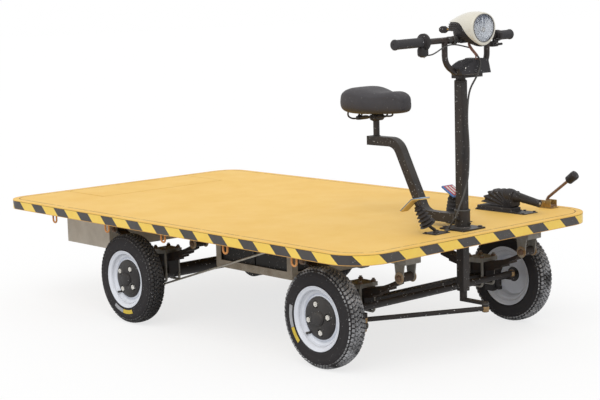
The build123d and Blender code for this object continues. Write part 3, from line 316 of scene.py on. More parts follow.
deck_paint = finish(
    "deck_paint", (242, 196, 98), (234, 184, 86), 0.5, relief=0.00025, specular=0.35, patch_scale=5.0,
    patchiness=0.55, dust=0.32, dust_colour=rgb(245, 210, 132), specks=0.14, grain_scale=260.0,
)
rim_face_paint = finish(
    "rim_face_paint", (236, 180, 92), (214, 150, 70), 0.55, patch_scale=30.0, dust=0.15, specks=0.1,
)
frame_paint = finish(
    "frame_paint", (26, 24, 24), (42, 37, 34), 0.5, specular=0.25, patch_scale=22.0, dust=0.2,
    specks=0.9, grain_scale=300.0,
)
dress(deck_paint, "cargo_sheet", "front_sheet", "hatch")
dress(rim_face_paint, "deck_rim")
dress(frame_paint, "deck_beams")

deck_low, deck_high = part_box("deck_rim")
sheet_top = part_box("cargo_sheet")[1].z
front_radius = 0.150
rear_radius = 0.100
corner_steps = 14


def deck_outline(shape, inset, z):
    """One flat face with the deck's plan, larger corners in front."""
    corners = [
        (deck_low.x + inset, deck_low.y + inset),
        (deck_high.x - inset, deck_low.y + inset),
        (deck_high.x - inset, deck_high.y - inset),
        (deck_low.x + inset, deck_high.y - inset),
    ]
    points = [shape.verts.new((x, y, z)) for x, y in corners]
    shape.faces.new(points)
    for pair, radius in ((points[1:3], front_radius), ((points[0], points[3]), rear_radius)):
        bmesh.ops.bevel(
            shape, geom=list(pair), offset=radius - inset, offset_type="OFFSET", affect="VERTICES",
            segments=corner_steps, profile=0.5, material=-1,
        )
    shape.faces.ensure_lookup_table()
    return shape.faces[0]


# Edge lip: the sheet's turned-down edge, with a dark joint of dirt and rust between it and the tape.
# It is the sheet's own steel, rounded where the press folded it, and the hatch has its own length of it.
lip_height = 0.0042
lip_proud = 0.0012
lip_fold_share = 0.35
lip_rise_share = 0.45
lip_reach = 3 * lip_proud
joint_height = 0.0014
joint_proud = 0.0003


def only_vertices(geometry):
    """The vertices among what an operator made."""
    return [item for item in geometry if isinstance(item, bmesh.types.BMVert)]


def edge_strip(inset, low, high):
    """A wall that follows the deck's outline."""
    shape = bmesh.new()
    face = deck_outline(shape, inset, low)
    edges = list(face.edges)
    bmesh.ops.delete(shape, geom=[face], context="FACES_ONLY")
    grown = bmesh.ops.extrude_edge_only(shape, edges=edges)["geom"]
    bmesh.ops.translate(shape, verts=only_vertices(grown), vec=(0, 0, high - low))
    return shape


def edge_lip():
    """The wall of the lip, and the fold that leads from it to the sheet's top."""
    shape = edge_strip(-lip_proud, sheet_top - lip_height, sheet_top - lip_height * lip_fold_share)
    halfway = sheet_top - lip_height / 2
    top = [edge for edge in shape.edges if min(vertex.co.z for vertex in edge.verts) > halfway]
    grown = bmesh.ops.extrude_edge_only(shape, edges=top)["geom"]
    for vertex in only_vertices(grown):
        inward = Vector((-vertex.co.x, -vertex.co.y, 0)).normalized()
        vertex.co += inward * lip_reach + Vector((0, 0, lip_height * lip_rise_share))
    return shape


def bisect(shape, place, normal):
    """Cuts every face that a plane meets, and keeps both sides."""
    bmesh.ops.bisect_plane(
        shape, geom=shape.verts[:] + shape.edges[:] + shape.faces[:], plane_co=place, plane_no=normal,
    )


def split_at_hatch(shape):
    """Cuts what runs round the deck at the hatch's sides. Returns what stays, and the hatch's length."""
    for side in (hatch_low.y, hatch_high.y):
        bisect(shape, (0, side, 0), (0, 1, 0))
    lifted = shape.copy()
    for part, keeps_hatch in ((shape, False), (lifted, True)):
        gone = []
        for face in part.faces:
            middle = face.calc_center_median()
            on_hatch = middle.x < hatch_high.x and hatch_low.y < middle.y < hatch_high.y
            if on_hatch != keeps_hatch:
                gone.append(face)
        bmesh.ops.delete(part, geom=gone, context="FACES")
    return shape, lifted


hatch_low, hatch_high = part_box("hatch")
lip, hatch_lip = split_at_hatch(edge_lip())
piece("deck_edge_lip", lip, deck_paint, "chassis")
piece("hatch_edge_lip", hatch_lip, deck_paint, "hatch")
joint_dirt = finish("joint_dirt", (108, 66, 30), (62, 42, 28), 0.85, patch_scale=60.0, specks=0.3)
joint_top = sheet_top - lip_height
joint_strip = edge_strip(-joint_proud, joint_top - joint_height, joint_top)
piece("edge_joint", joint_strip, joint_dirt, "chassis")

# Hazard tape: two lengths of yellow and charcoal adhesive film round the rim, with slanted bars.
# They lap near the front wheel, and the bars stand wider across the front edge.
tape_low = deck_low.z + 0.0022
tape_high = joint_top - joint_height
tape_proud = 0.0006
side_pitch = 0.1796
front_pitch = 0.195
lap_x = 0.82
lap_shift = 0.225
bar_centre_x = 0.7535
bar_share = 0.475
# Whole bars that keep the count above zero, and the half that sets a bar's middle at 0.5.
bar_offset = 40.5
level_gap = 1e-5
edge_gap = 1e-3
side_band = 0.02


def step_round(here, start, walked):
    """The next level edge from a vertex of the strip's foot, its far vertex and the way to it."""
    found = None
    for edge in here.link_edges:
        other = edge.other_vert(here)
        heading = other.co - here.co
        if abs(heading.z) > level_gap or edge in walked:
            continue
        if here is start and heading.x < 0:
            continue
        found = (edge, other, heading)
    return found


def hazard_tape():
    """The strip, with a UV map that counts bars along the rim and metres up it."""
    shape = edge_strip(-tape_proud, tape_low, tape_high)
    bisect(shape, (lap_x, 0, 0), (1, 0, 0))
    middle_z = (tape_low + tape_high) / 2
    start = min(
        (vertex for vertex in shape.verts if vertex.co.z < middle_z and vertex.co.y < 0),
        key=lambda vertex: abs(vertex.co.x - lap_x) + abs(vertex.co.y - deck_low.y),
    )
    first_count = (start.co.x - bar_centre_x) / side_pitch
    uv = shape.loops.layers.uv.new("tape")
    here, bars = start, first_count
    walked = []
    while step := step_round(here, start, walked):
        edge, other, heading = step
        walked.append(edge)
        on_front = (here.co.x + other.co.x) / 2 > deck_high.x - edge_gap
        ahead = bars + heading.length / (front_pitch if on_front else side_pitch)
        for loop in edge.link_faces[0].loops:
            near_start = (loop.vert.co - here.co).xy.length < (loop.vert.co - other.co).xy.length
            loop[uv].uv = (bars if near_start else ahead, loop.vert.co.z - middle_z)
        here, bars = other, ahead
        if here is start:
            break
    total = bars - first_count
    for face in shape.faces:
        middle = face.calc_center_median()
        on_rear_length = middle.x < lap_x and middle.y < deck_low.y + side_band
        on_rear_length = on_rear_length or middle.x < deck_low.x + rear_radius
        for loop in face.loops:
            shift = -total if on_rear_length else lap_shift
            loop[uv].uv = (loop[uv].uv.x + shift, loop[uv].uv.y)
    return shape


def tape_film():
    """The tape's material: yellow film with charcoal bars that slant by one for each pitch of height."""
    material = finish(
        "hazard_tape", (236, 205, 78), (228, 192, 66), 0.42, coat=0.15, patch_scale=40.0, patchiness=0.4,
        dust=0.12, specks=0.25, grain_scale=500.0,
    )
    tree = material.node_tree
    worn = next(node for node in tree.nodes if node.type == "GROUP")
    place = put(tree, "SeparateXYZ", {0: put(tree, "UVMap", uv_map="tape").outputs[0]}).outputs
    slant = maths(tree, "DIVIDE", place["Y"], side_pitch)
    along = maths(tree, "ADD", maths(tree, "ADD", place["X"], slant), bar_offset)
    aside = maths(tree, "ABSOLUTE", maths(tree, "SUBTRACT", maths(tree, "FRACT", along), 0.5))
    bar = maths(tree, "LESS_THAN", aside, bar_share / 2)
    for name, yellow, charcoal in (
        ("Base", rgb(255, 216, 88), rgb(44, 38, 36)), ("Patches", rgb(248, 202, 76), rgb(34, 30, 29)),
    ):
        tree.links.new(mixed(tree, bar, yellow, charcoal), worn.inputs[name])
    return material


piece("hazard_tape", hazard_tape(), tape_film(), "chassis")

# Tyres: small pneumatic road tyres, moulded in one piece with sidewall rings and a block tread.
# Old road dust greys the rubber and fills the grooves, and pale dried mud clings to the front pair's tread.
tyre_line_share = [
    # radius and offset from the middle plane, from the bead to the crown, as shares of the tyre's own
    (0.548, 0.72), (0.60, 0.76), (0.630, 0.80), (0.645, 0.88), (0.66, 0.955), (0.68, 0.99), (0.70, 1.0),
    (0.712, 0.985), (0.80, 0.99), (0.812, 1.0), (0.845, 0.975), (0.895, 0.915), (0.93, 0.84),
    (0.952, 0.72), (0.962, 0.36), (0.966, 0.0),
]
tread_pitches = 66
# Tread blocks: middle offset share, half width share, half length share of a pitch, turn, pitch shift, sink
tread_blocks = [
    (0.10, 0.085, 0.40, 24.0, 0.0, 0.0),
    (-0.10, 0.085, 0.40, 24.0, 0.5, 0.0),
    (0.36, 0.12, 0.38, -20.0, 0.25, 0.001),
    (-0.36, 0.12, 0.38, -20.0, 0.75, 0.001),
    (0.655, 0.13, 0.36, 12.0, 0.5, 0.004),
    (-0.655, 0.13, 0.36, 12.0, 0.0, 0.004),
    (0.855, 0.07, 0.33, 0.0, 0.0, 0.0125),
    (-0.855, 0.07, 0.33, 0.0, 0.5, 0.0125),
]
# Degrees that the outer rows of blocks lean round the shoulder
block_tilts = {0.655: 22.0, 0.855: 58.0}
block_depth = 0.009
block_taper = 0.84
wheel_places = ["front_left", "front_right", "rear_left", "rear_right"]
axle_line = (0, 1, 0)
upright_line = (0, 0, 1)
merge_gap = 1e-6


def lathe(line, steps=96, closed=False, axis=axle_line):
    """Spins a line of (radius, offset) points about an axis through the origin."""
    shape = bmesh.new()
    points = []
    for radius, offset in line:
        place = (radius, offset, 0) if axis == axle_line else (radius, 0, offset)
        points.append(shape.verts.new(place))
    for first, second in zip(points, points[1:]):
        shape.edges.new((first, second))
    if closed:
        shape.edges.new((points[-1], points[0]))
    bmesh.ops.spin(
        shape, geom=shape.verts[:] + shape.edges[:], cent=(0, 0, 0), axis=axis, angle=2 * math.pi,
        steps=steps, use_merge=True, use_duplicate=False,
    )
    bmesh.ops.remove_doubles(shape, verts=shape.verts, dist=merge_gap)
    return shape


def edges_of(vertices):
    """Every edge that meets some vertices, once each."""
    return list({edge for vertex in vertices for edge in vertex.link_edges})


def soften(shape, edges, offset, segments):
    """Rounds edges, and returns what the bevel made."""
    return bmesh.ops.bevel(
        shape, geom=edges, offset=offset, affect="EDGES", segments=segments, profile=0.5, material=-1,
    )


def add_block(shape, size, matrix, taper=1.0, bevel=0.0):
    """A tapered block, its edges softened where a bevel is given."""
    made = bmesh.ops.create_cube(shape, size=1.0)["verts"]
    for vertex in made:
        if vertex.co.z > 0:
            vertex.co.x *= taper
            vertex.co.y *= taper
    bmesh.ops.transform(shape, matrix=matrix @ Matrix.Diagonal((*size, 1)), verts=made)
    if bevel:
        soften(shape, edges_of(made), bevel, 1)


def paint_rest(shape, done, index):
    """Gives all faces but the finished ones another of the piece's materials. Returns all faces."""
    for face in shape.faces:
        if face not in done:
            face.material_index = index
    return set(shape.faces)


def absorb(target, source, matrix=Matrix.Identity(4)):
    """Copies one bmesh into another, placed by a matrix, and frees it."""
    bmesh.ops.transform(source, matrix=matrix, verts=source.verts)
    if matrix.determinant() < 0:
        bmesh.ops.reverse_faces(source, faces=source.faces)
    mesh = bpy.data.meshes.new("passing")
    source.to_mesh(mesh)
    source.free()
    target.from_mesh(mesh)
    bpy.data.meshes.remove(mesh)


def tyre_shape(radius, half_width):
    """A turned carcass, and tread blocks repeated round it."""
    half = [(r * radius, w * half_width) for r, w in tyre_line_share]
    line = half + [(r, -w) for r, w in reversed(half[:-1])]
    carcass = lathe(line, steps=120)
    pitch = 2 * math.pi / tread_pitches
    tread = bmesh.new()
    for middle, half_w, half_l, turn, shift, sink in tread_blocks:
        tilt = math.radians(block_tilts.get(abs(middle), 0.0)) * math.copysign(1, middle)
        size = (2 * half_l * pitch * radius, 2 * half_w * half_width, block_depth)
        place = Matrix.Rotation(shift * pitch, 4, "Y")
        place = place @ Matrix.Translation((0, middle * half_width, radius - sink - block_depth / 2))
        place = place @ Matrix.Rotation(-tilt, 4, "X") @ Matrix.Rotation(math.radians(turn), 4, "Z")
        add_block(tread, size, place, taper=block_taper)
    bmesh.ops.spin(
        tread, geom=tread.verts[:] + tread.edges[:] + tread.faces[:], cent=(0, 0, 0), axis=axle_line,
        angle=2 * math.pi - pitch, steps=tread_pitches - 1, use_duplicate=True,
    )
    paint_rest(tread, (), 1)
    absorb(carcass, tread)
    return carcass


tyre_side = finish(
    "tyre_side", (38, 36, 38), (50, 48, 49), 0.7, relief=0.0003, patch_scale=30.0, patchiness=0.6,
    dust=0.2, dust_colour=rgb(100, 96, 94), specks=0.15, grain_scale=700.0, specular=0.22,
)
tyre_tread = finish(
    "tyre_tread", (30, 28, 29), (52, 50, 50), 0.8, relief=0.0004, patch_scale=60.0, patchiness=0.7,
    dust=0.28, dust_colour=rgb(196, 196, 196), specks=1.0, grain_scale=600.0, specular=0.3,
)
chalky_tread = finish(
    "chalky_tread", (30, 28, 29), (226, 227, 230), 0.85, relief=0.0004, patch_scale=16.0, patchiness=0.62,
    dust=0.2, dust_colour=rgb(196, 196, 196), specks=1.0, grain_scale=600.0, specular=0.3,
)


def wheel_matrix(place):
    """From a wheel lying on the origin, outer face towards +Y, to its place on the truck."""
    low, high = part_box("tyre_" + place)
    middle = (low + high) / 2
    side = 1 if place.endswith("left") else -1
    return Matrix.Translation(middle) @ Matrix.Diagonal((1, side, 1, 1))


tyre_low, tyre_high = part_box("tyre_front_left")
tyre_radius = (tyre_high.z - tyre_low.z) / 2
tyre_half_width = (tyre_high.y - tyre_low.y) / 2
for place in wheel_places:
    tyre = bmesh.new()
    absorb(tyre, tyre_shape(tyre_radius, tyre_half_width), wheel_matrix(place))
    tread_rubber = chalky_tread if place.startswith("front") else tyre_tread
    piece(
        "road_tyre_" + place, tyre, [tyre_side, tread_rubber], "wheel_" + place,
        ["tyre_" + place],
    )

# Deck seam: a shallow rolled line that runs round the sheet's top, where rust has come through the paint.
# The stain is broken and uneven, so the paint shows through it in many places.
seam_inset = 0.027
seam_width = 0.0036
seam_lift = 0.0003


def seam_line():
    """A flat ribbon between two of the deck's outlines."""
    shape = bmesh.new()
    outer = deck_outline(shape, seam_inset, sheet_top + seam_lift)
    edges = list(outer.edges)
    bmesh.ops.delete(shape, geom=[outer], context="FACES_ONLY")
    inner = bmesh.new()
    deck_outline(inner, seam_inset + seam_width, sheet_top + seam_lift)
    bmesh.ops.delete(inner, geom=inner.faces[:], context="FACES_ONLY")
    absorb(shape, inner)
    bmesh.ops.bridge_loops(shape, edges=shape.edges[:])
    return shape


def seam_rust_finish():
    """Brown rust with its gaps cut out by noise."""
    material = finish("seam_rust", (150, 98, 40), (92, 58, 28), 0.8, patch_scale=50.0, patchiness=1.0)
    tree = material.node_tree
    place = put(tree, "TexCoord").outputs["Object"]
    kept = ranged(tree, noise(tree, place, scale=24.0, detail=6.0, roughness=0.7), 0.38, 0.50)
    tree.links.new(kept, tree.nodes["Principled BSDF"].inputs["Alpha"])
    return material


seam_rust = seam_rust_finish()
seam, hatch_seam = split_at_hatch(seam_line())
piece("deck_seam", seam, seam_rust, "chassis")
piece("hatch_seam", hatch_seam, seam_rust, "hatch")

# Tyre labels: two blank paper bands, grey and yellow, left on each right-hand tyre's side since it was new.
# They are glued flat on the rubber and have gone dull and dusty.
paper_lift = 0.0003
paper_thickness = 0.0004
label_inner_r = 0.1300
label_outer_r = 0.1460
label_y = tyre_half_width + paper_lift
# Each label: wheel, first and last angle in degrees, whether it is the yellow one
tyre_labels = [
    ("front_right", 166.0, 200.5, False),
    ("front_right", 201.0, 225.5, True),
    ("rear_right", -123.0, -98.5, False),
    ("rear_right", -98.0, -71.0, True),
]
grey_paper = finish(
    "grey_paper", (176, 178, 182), (140, 140, 142), 0.8, patch_scale=90.0, dust=0.3, specks=0.5,
)
yellow_paper = finish(
    "yellow_paper", (226, 196, 56), (196, 166, 52), 0.8, patch_scale=90.0, dust=0.3, specks=0.5,
)


def label_band(start, end):
    """A thin paper band bent round the tyre's side between two angles."""
    shape = bmesh.new()
    points = [shape.verts.new((radius, label_y, 0)) for radius in (label_inner_r, label_outer_r)]
    shape.edges.new(points)
    start_turn = Matrix.Rotation(-math.radians(start), 3, "Y")
    bmesh.ops.rotate(shape, verts=points, cent=(0, 0, 0), matrix=start_turn)
    bmesh.ops.spin(
        shape, geom=shape.verts[:] + shape.edges[:], cent=(0, 0, 0), axis=axle_line,
        angle=-math.radians(end - start), steps=16, use_duplicate=False,
    )
    bmesh.ops.solidify(shape, geom=shape.faces[:], thickness=paper_thickness)
    return shape


for place, start, end, is_yellow in tyre_labels:
    band = bmesh.new()
    absorb(band, label_band(start, end), wheel_matrix(place))
    colour_name = "yellow" if is_yellow else "grey"
    paper = yellow_paper if is_yellow else grey_paper
    piece("tyre_label_%s_%s" % (colour_name, place), band, paper, "wheel_" + place)

# Wheels: pressed steel rims in pale silver paint, each with a domed black hub plate over its middle.
# Four nuts in round pockets hold the plate, a cap that is left blank closes the hub, and a rubber valve
# stands in the rim.
rim_line = [
    # radius and offset from the middle plane, once round the pressed sheet
    (0.1205, 0.0400), (0.1185, 0.0405), (0.1160, 0.0385), (0.1120, 0.0360), (0.1070, 0.0345),
    (0.1035, 0.0290), (0.1000, 0.0230), (0.0980, 0.0200), (0.0940, 0.0190), (0.0900, 0.0140),
    (0.0875, 0.0095), (0.0855, 0.0095), (0.0840, 0.0145), (0.0800, 0.0165), (0.0300, 0.0165),
    (0.0300, 0.0110), (0.0800, 0.0105), (0.0830, 0.0060), (0.0830, -0.0060), (0.0860, -0.0120),
    (0.0920, -0.0205), (0.0980, -0.0220), (0.1000, -0.0240), (0.1040, -0.0300), (0.1080, -0.0350),
    (0.1205, -0.0400), (0.1205, -0.0380), (0.1150, -0.0350), (0.1060, -0.0330), (0.1015, -0.0260),
    (0.1015, 0.0260), (0.1060, 0.0330), (0.1150, 0.0350), (0.1205, 0.0380),
]
disc_face = 0.0165
plate_under = 0.002
hub_line = [
    (0.0795, 0.0), (0.0795, 0.003), (0.0775, 0.006), (0.0700, 0.0095), (0.0600, 0.0130),
    (0.0450, 0.0155), (0.0300, 0.0160), (0.0, 0.0160),
]
cap_line = [
    (0.0330, 0.0150), (0.0330, 0.0180), (0.0316, 0.0206), (0.0300, 0.0212), (0.0290, 0.0206),
    (0.0278, 0.0212), (0.0255, 0.0238), (0.0150, 0.0256), (0.0, 0.0260),
]
cap_flatness = 0.803
# The black paint starts this far behind the disc's face and ends this far past the plate's rim
paint_behind = 0.003
paint_past = 0.0001
lug_count = 4
lug_circle = 0.0525
lug_pocket = 0.0150
pocket_flare = 0.1
pocket_depth = 0.02
lug_floor = 0.008
# Sizes of every nut and bolt head: radius over its corners, height, how far its stud stands out, and sides
wheel_nut = (0.0108, 0.0090, 0.0035)
nut_chamfer = 0.14
stud_foot = 0.56
stud_tip = 0.44
stud_sunk = 0.1
front_lug_angle = 12.0
rear_lug_angle = 57.0
valve_angle = 225.0
valve_radius = 0.089
valve_foot = 0.010
# Radius at the foot and at the tip of each part of the valve, and where along it the part starts and ends
valve_parts = [(0.0055, 0.0045, 0.0, 0.010), (0.0042, 0.0042, 0.010, 0.018), (0.0050, 0.0046, 0.018, 0.023)]


def solid_of(made):
    """The bmesh of an object with its modifiers applied. The object itself goes."""
    graph = bpy.context.evaluated_depsgraph_get()
    mesh = bpy.data.meshes.new_from_object(made.evaluated_get(graph))
    shape = bmesh.new()
    shape.from_mesh(mesh)
    bpy.data.meshes.remove(mesh)
    bpy.data.objects.remove(made)
    return shape


def passing_object(shape):
    """A bmesh as an object for a moment, so that a modifier can work on it."""
    mesh = bpy.data.meshes.new("passing")
    shape.to_mesh(mesh)
    shape.free()
    made = bpy.data.objects.new("passing", mesh)
    scene.collection.objects.link(made)
    return made


def carve(shape, cutter):
    """Cuts one closed shape out of another."""
    body = passing_object(shape)
    tool = passing_object(cutter)
    cut = body.modifiers.new("cut", "BOOLEAN")
    cut.operation = "DIFFERENCE"
    cut.object = tool
    result = solid_of(body)
    bpy.data.objects.remove(tool)
    return result


def add_cone(shape, foot, tip, length, matrix, steps=16):
    """A closed cone or cylinder that starts at a frame's origin and runs up its Z."""
    return bmesh.ops.create_cone(
        shape, segments=steps, radius1=foot, radius2=tip, depth=length, cap_ends=True,
        matrix=matrix @ Matrix.Translation((0, 0, length / 2)),
    )["verts"]


def add_nut(shape, place, radius, height, stud=0.0, sides=6):
    """A chamfered nut or bolt head, its foot at the matrix's origin and its top along its Z."""
    made = add_cone(shape, radius, radius, height, Matrix.Identity(4), sides)
    top = [vertex for vertex in made if vertex.co.z > height / 2]
    rim = [edge for edge in edges_of(top) if all(vertex in top for vertex in edge.verts)]
    made += soften(shape, rim, radius * nut_chamfer, 2)["verts"]
    if stud:
        foot = Matrix.Translation((0, 0, height - radius * stud_sunk))
        made += add_cone(shape, radius * stud_foot, radius * stud_tip, stud, foot, 12)
    bmesh.ops.transform(shape, matrix=place, verts=[vertex for vertex in set(made) if vertex.is_valid])


def outward(angle, radius, offset):
    """A frame on the wheel's face at an angle and radius, its Z along the axle outwards."""
    turn = math.radians(angle)
    spot = Matrix.Translation((radius * math.cos(turn), offset, radius * math.sin(turn)))
    return spot @ Matrix.Rotation(-math.pi / 2, 4, "X")


def lug_frames(first_angle, offset):
    """A frame for each of the wheel's nuts."""
    return [outward(first_angle + 360 / lug_count * index, lug_circle, offset) for index in range(lug_count)]


def hub_plate(first_angle):
    """The domed plate with its round pockets."""
    plate = lathe([(0.0, -plate_under), (hub_line[0][0], -plate_under)] + hub_line, steps=72)
    bmesh.ops.recalc_face_normals(plate, faces=plate.faces)
    pockets = bmesh.new()
    for pocket in lug_frames(first_angle, lug_floor):
        narrow, wide = lug_pocket * (1 - pocket_flare), lug_pocket * (1 + pocket_flare)
        add_cone(pockets, narrow, wide, pocket_depth, pocket, 32)
    return carve(plate, pockets)


def wheel_shape(first_angle):
    """Rim, hub plate, cap, nuts and valve of one wheel, its outer face towards +Y."""
    whole = lathe(rim_line, steps=96, closed=True)
    absorb(whole, hub_plate(first_angle), Matrix.Translation((0, disc_face, 0)))
    cap_place = Matrix.Translation((0, disc_face, 0)) @ Matrix.Diagonal((1, 1, cap_flatness, 1))
    absorb(whole, lathe(cap_line, steps=64), cap_place)
    for face in whole.faces:
        middle = face.calc_center_median()
        on_plate = math.hypot(middle.x, middle.z) < hub_line[0][0] + paint_past
        if middle.y > disc_face - paint_behind and on_plate:
            face.material_index = 3
    pressed = set(whole.faces)
    for place in lug_frames(first_angle, disc_face + lug_floor):
        add_nut(whole, place, *wheel_nut)
    metal = paint_rest(whole, pressed, 1)
    for foot, tip, start, end in valve_parts:
        add_cone(whole, foot, tip, end - start, outward(valve_angle, valve_radius, valve_foot + start))
    paint_rest(whole, metal, 2)
    return whole


rim_paint = finish(
    "rim_paint", (234, 238, 246), (214, 218, 228), 0.38, relief=0.00025, coat=0.2, patch_scale=14.0,
    patchiness=0.45, dust=0.18, dust_colour=rgb(176, 170, 160), specks=0.15, grain_scale=420.0,
)
nut_zinc = finish(
    "nut_zinc", (232, 230, 224), (190, 184, 172), 0.28, metallic=0.8, patch_scale=200.0, dust=0.3, specks=0.2,
)
hub_black = finish(
    "hub_black", (24, 22, 24), (34, 31, 33), 0.42, patch_scale=20.0, dust=0.15, specks=0.3,
    grain_scale=600.0, specular=0.3,
)
hard_rubber = finish(
    "hard_rubber", (34, 33, 34), (54, 52, 51), 0.62, patch_scale=60.0, dust=0.3, specks=0.5, specular=0.35,
)
for place in wheel_places:
    lug_angle = front_lug_angle if place.startswith("front") else rear_lug_angle
    wheel = bmesh.new()
    absorb(wheel, wheel_shape(lug_angle), wheel_matrix(place))
    piece(
        "rim_and_hub_" + place, wheel, [rim_paint, nut_zinc, hard_rubber, hub_black], "wheel_" + place,
        ["wheel_" + place], sharp=38.0,
    )

# Suspension: curved spring-steel leaves on rubber bushes, in folded hangers under the frame.
# Two bent bolts and a rusty plate clamp each pack to its axle, and nuts close every pin.
front_axle_x = 0.822
rear_axle_x = -0.332
# Each spring: axle X, spring Y, reach to the front eye, reach to the rear eye
spring_rows = [(front_axle_x, 0.335, 0.233, 0.282), (rear_axle_x, 0.365, 0.226, 0.340)]
spring_eye_z = 0.338
shackle_pin_z = 0.396
ear_outside = 0.032
clamp_top_z = 0.291
clamp_bolt_reach = 0.034
pin_washer = (0.0135, 0.002, 0.0, 24)
pin_nut = (0.0115, 0.009, 0.004)
clamp_nut = (0.0095, 0.008, 0.006)
bush_line = [(0.0079, 0.0), (0.0155, 0.0), (0.0155, 0.0012), (0.0145, 0.0018), (0.0079, 0.0018)]
leaf_half_width = 0.025
leaf_steel = finish(
    "leaf_steel", (30, 27, 26), (58, 44, 34), 0.62, specular=0.25, relief=0.0004, patch_scale=26.0,
    patchiness=0.7, dust=0.25, dust_colour=rgb(112, 98, 84), specks=0.7,
)
hanger_zinc = finish(
    "hanger_zinc", (142, 140, 134), (112, 104, 92), 0.5, relief=0.0003, metallic=0.35, patch_scale=40.0,
    patchiness=0.6, dust=0.35, dust_colour=rgb(150, 140, 122), specks=0.4,
)
axle_black = finish(
    "axle_black", (26, 24, 25), (44, 37, 34), 0.5, specular=0.3, relief=0.0004, patch_scale=24.0,
    patchiness=0.6, dust=0.22, dust_colour=rgb(104, 96, 90), specks=1.0,
)
cast_grey = finish(
    "cast_grey", (92, 92, 92), (70, 66, 62), 0.6, relief=0.0007, metallic=0.3, patch_scale=18.0,
    patchiness=0.6, dust=0.5, dust_colour=rgb(138, 128, 114), specks=0.5, grain_scale=180.0,
)
rod_steel = finish(
    "rod_steel", (168, 164, 154), (120, 108, 92), 0.4, metallic=0.7, patch_scale=50.0, dust=0.3, specks=0.3,
)
brass = finish(
    "brass", (176, 142, 74), (128, 100, 56), 0.42, metallic=0.75, patch_scale=90.0, dust=0.3, specks=0.3,
)
clamp_rust = finish(
    "clamp_rust", (126, 104, 84), (92, 62, 44), 0.55, metallic=0.35, patch_scale=60.0, patchiness=0.8,
)
dress(leaf_steel, "leaf_springs")
dress(hanger_zinc, "spring_fittings")
dress(axle_black, "front_axle", "knuckle_left", "knuckle_right", "rear_axle", "tie_rod", "drag_link")
dress(cast_grey, "motor")
dress(rod_steel, "brake_rods")


def facing(place, direction):
    """A frame at a place with its Z along a direction."""
    return Matrix.Translation(place) @ Vector(direction).to_track_quat("Z", "Y").to_matrix().to_4x4()


def spring_fasteners():
    """A washer and a nut on both ends of every pin, and the four nuts of each clamp."""
    shape = bmesh.new()
    for axle_x, spring_y, ahead, behind in spring_rows:
        front, rear = axle_x + ahead, axle_x - behind
        pins = [(front, spring_eye_z), (rear, spring_eye_z), (rear, shackle_pin_z)]
        for side in (-1, 1):
            y = side * spring_y
            for x, z in pins:
                for outer in (-1, 1):
                    spot = facing((x, y + outer * ear_outside, z), (0, outer, 0))
                    add_nut(shape, spot, *pin_washer)
                    add_nut(shape, spot @ Matrix.Translation((0, 0, pin_washer[1])), *pin_nut)
            for dx in (-1, 1):
                for dy in (-1, 1):
                    spot = (axle_x + dx * clamp_bolt_reach, y + dy * clamp_bolt_reach, clamp_top_z)
                    add_nut(shape, facing(spot, (0, 0, 1)), *clamp_nut)
    return shape


def both_sides(line, reach, places, steps):
    """Turned rings on both sides of upright plates, which face out along Y at a reach from each place."""
    shape = bmesh.new()
    for x, y, z in places:
        for outer in (-1, 1):
            ring = lathe(line, steps=steps, closed=True)
            turn = Matrix.Identity(4) if outer > 0 else Matrix.Rotation(math.pi, 4, "X")
            absorb(shape, ring, Matrix.Translation((x, y + outer * reach, z)) @ turn)
    return shape


def spring_eyes(with_rear):
    """The middles of the springs' front eyes, and of their rear eyes too where they are asked for."""
    places = []
    for axle_x, spring_y, ahead, behind in spring_rows:
        eyes = [axle_x + ahead]
        if with_rear:
            eyes.append(axle_x - behind)
        for x in eyes:
            places += [(x, side * spring_y, spring_eye_z) for side in (-1, 1)]
    return places


piece("spring_fasteners", spring_fasteners(), clamp_rust, "chassis")
spring_bushes = both_sides(bush_line, leaf_half_width, spring_eyes(True), 32)
piece("spring_bushes", spring_bushes, hard_rubber, "chassis")

# Steering column: a square tube that turns in a round bearing sleeve, welded to a base plate on the deck.
# It is sprayed satin black, chipped to pale specks and browned by hands and weather.
column_x = 1.027
sleeve_outer_r = 0.029
base_top_z = 0.472
sleeve_top_z = 0.534
weld_r = 0.0032
weld_ripples = 46
weld_depth = 0.22
weld_sway = 1.2
base_bolt_reach = 0.046
base_bolt = (0.0085, 0.0055)
# Bolts in the sleeve's side: place, direction and sizes
sleeve_bolts = [
    ((column_x + 0.004, -sleeve_outer_r + 0.001, 0.507), (0, -1, 0), (0.0085, 0.007, 0.004)),
    ((column_x + sleeve_outer_r - 0.001, 0.004, 0.488), (1, 0, 0), (0.006, 0.004, 0.006)),
]
seal_line = [
    (0.0256, 0.0), (0.0300, 0.0), (0.0304, 0.0015), (0.0296, 0.0042), (0.0262, 0.0060), (0.0256, 0.0056),
]
collar_z = 1.0103
collar_line = [
    (0.0181, 0.0), (0.0230, 0.0), (0.0236, 0.0012), (0.0236, 0.0060), (0.0222, 0.0074), (0.0196, 0.0078),
    (0.0186, 0.0110), (0.0181, 0.0112),
]
column_black = finish(
    "column_black", (21, 19, 20), (40, 30, 25), 0.4, relief=0.0003, specular=0.3, patch_scale=16.0,
    patchiness=0.75, dust=0.1, specks=0.4, grain_scale=380.0,
)
weld_metal = finish("weld_metal", (44, 40, 38), (84, 60, 44), 0.5, relief=0.0003, patch_scale=90.0, dust=0.3)
dress(column_black, "steering_tube", "column_sleeve", "seat_arm", "seat_post")


def turned(line, place, steps=40, closed=False):
    """A form turned about an upright axis, set at a place or in a frame."""
    shape = bmesh.new()
    matrix = place if isinstance(place, Matrix) else Matrix.Translation(place)
    absorb(shape, lathe(line, steps=steps, closed=closed, axis=upright_line), matrix)
    return shape


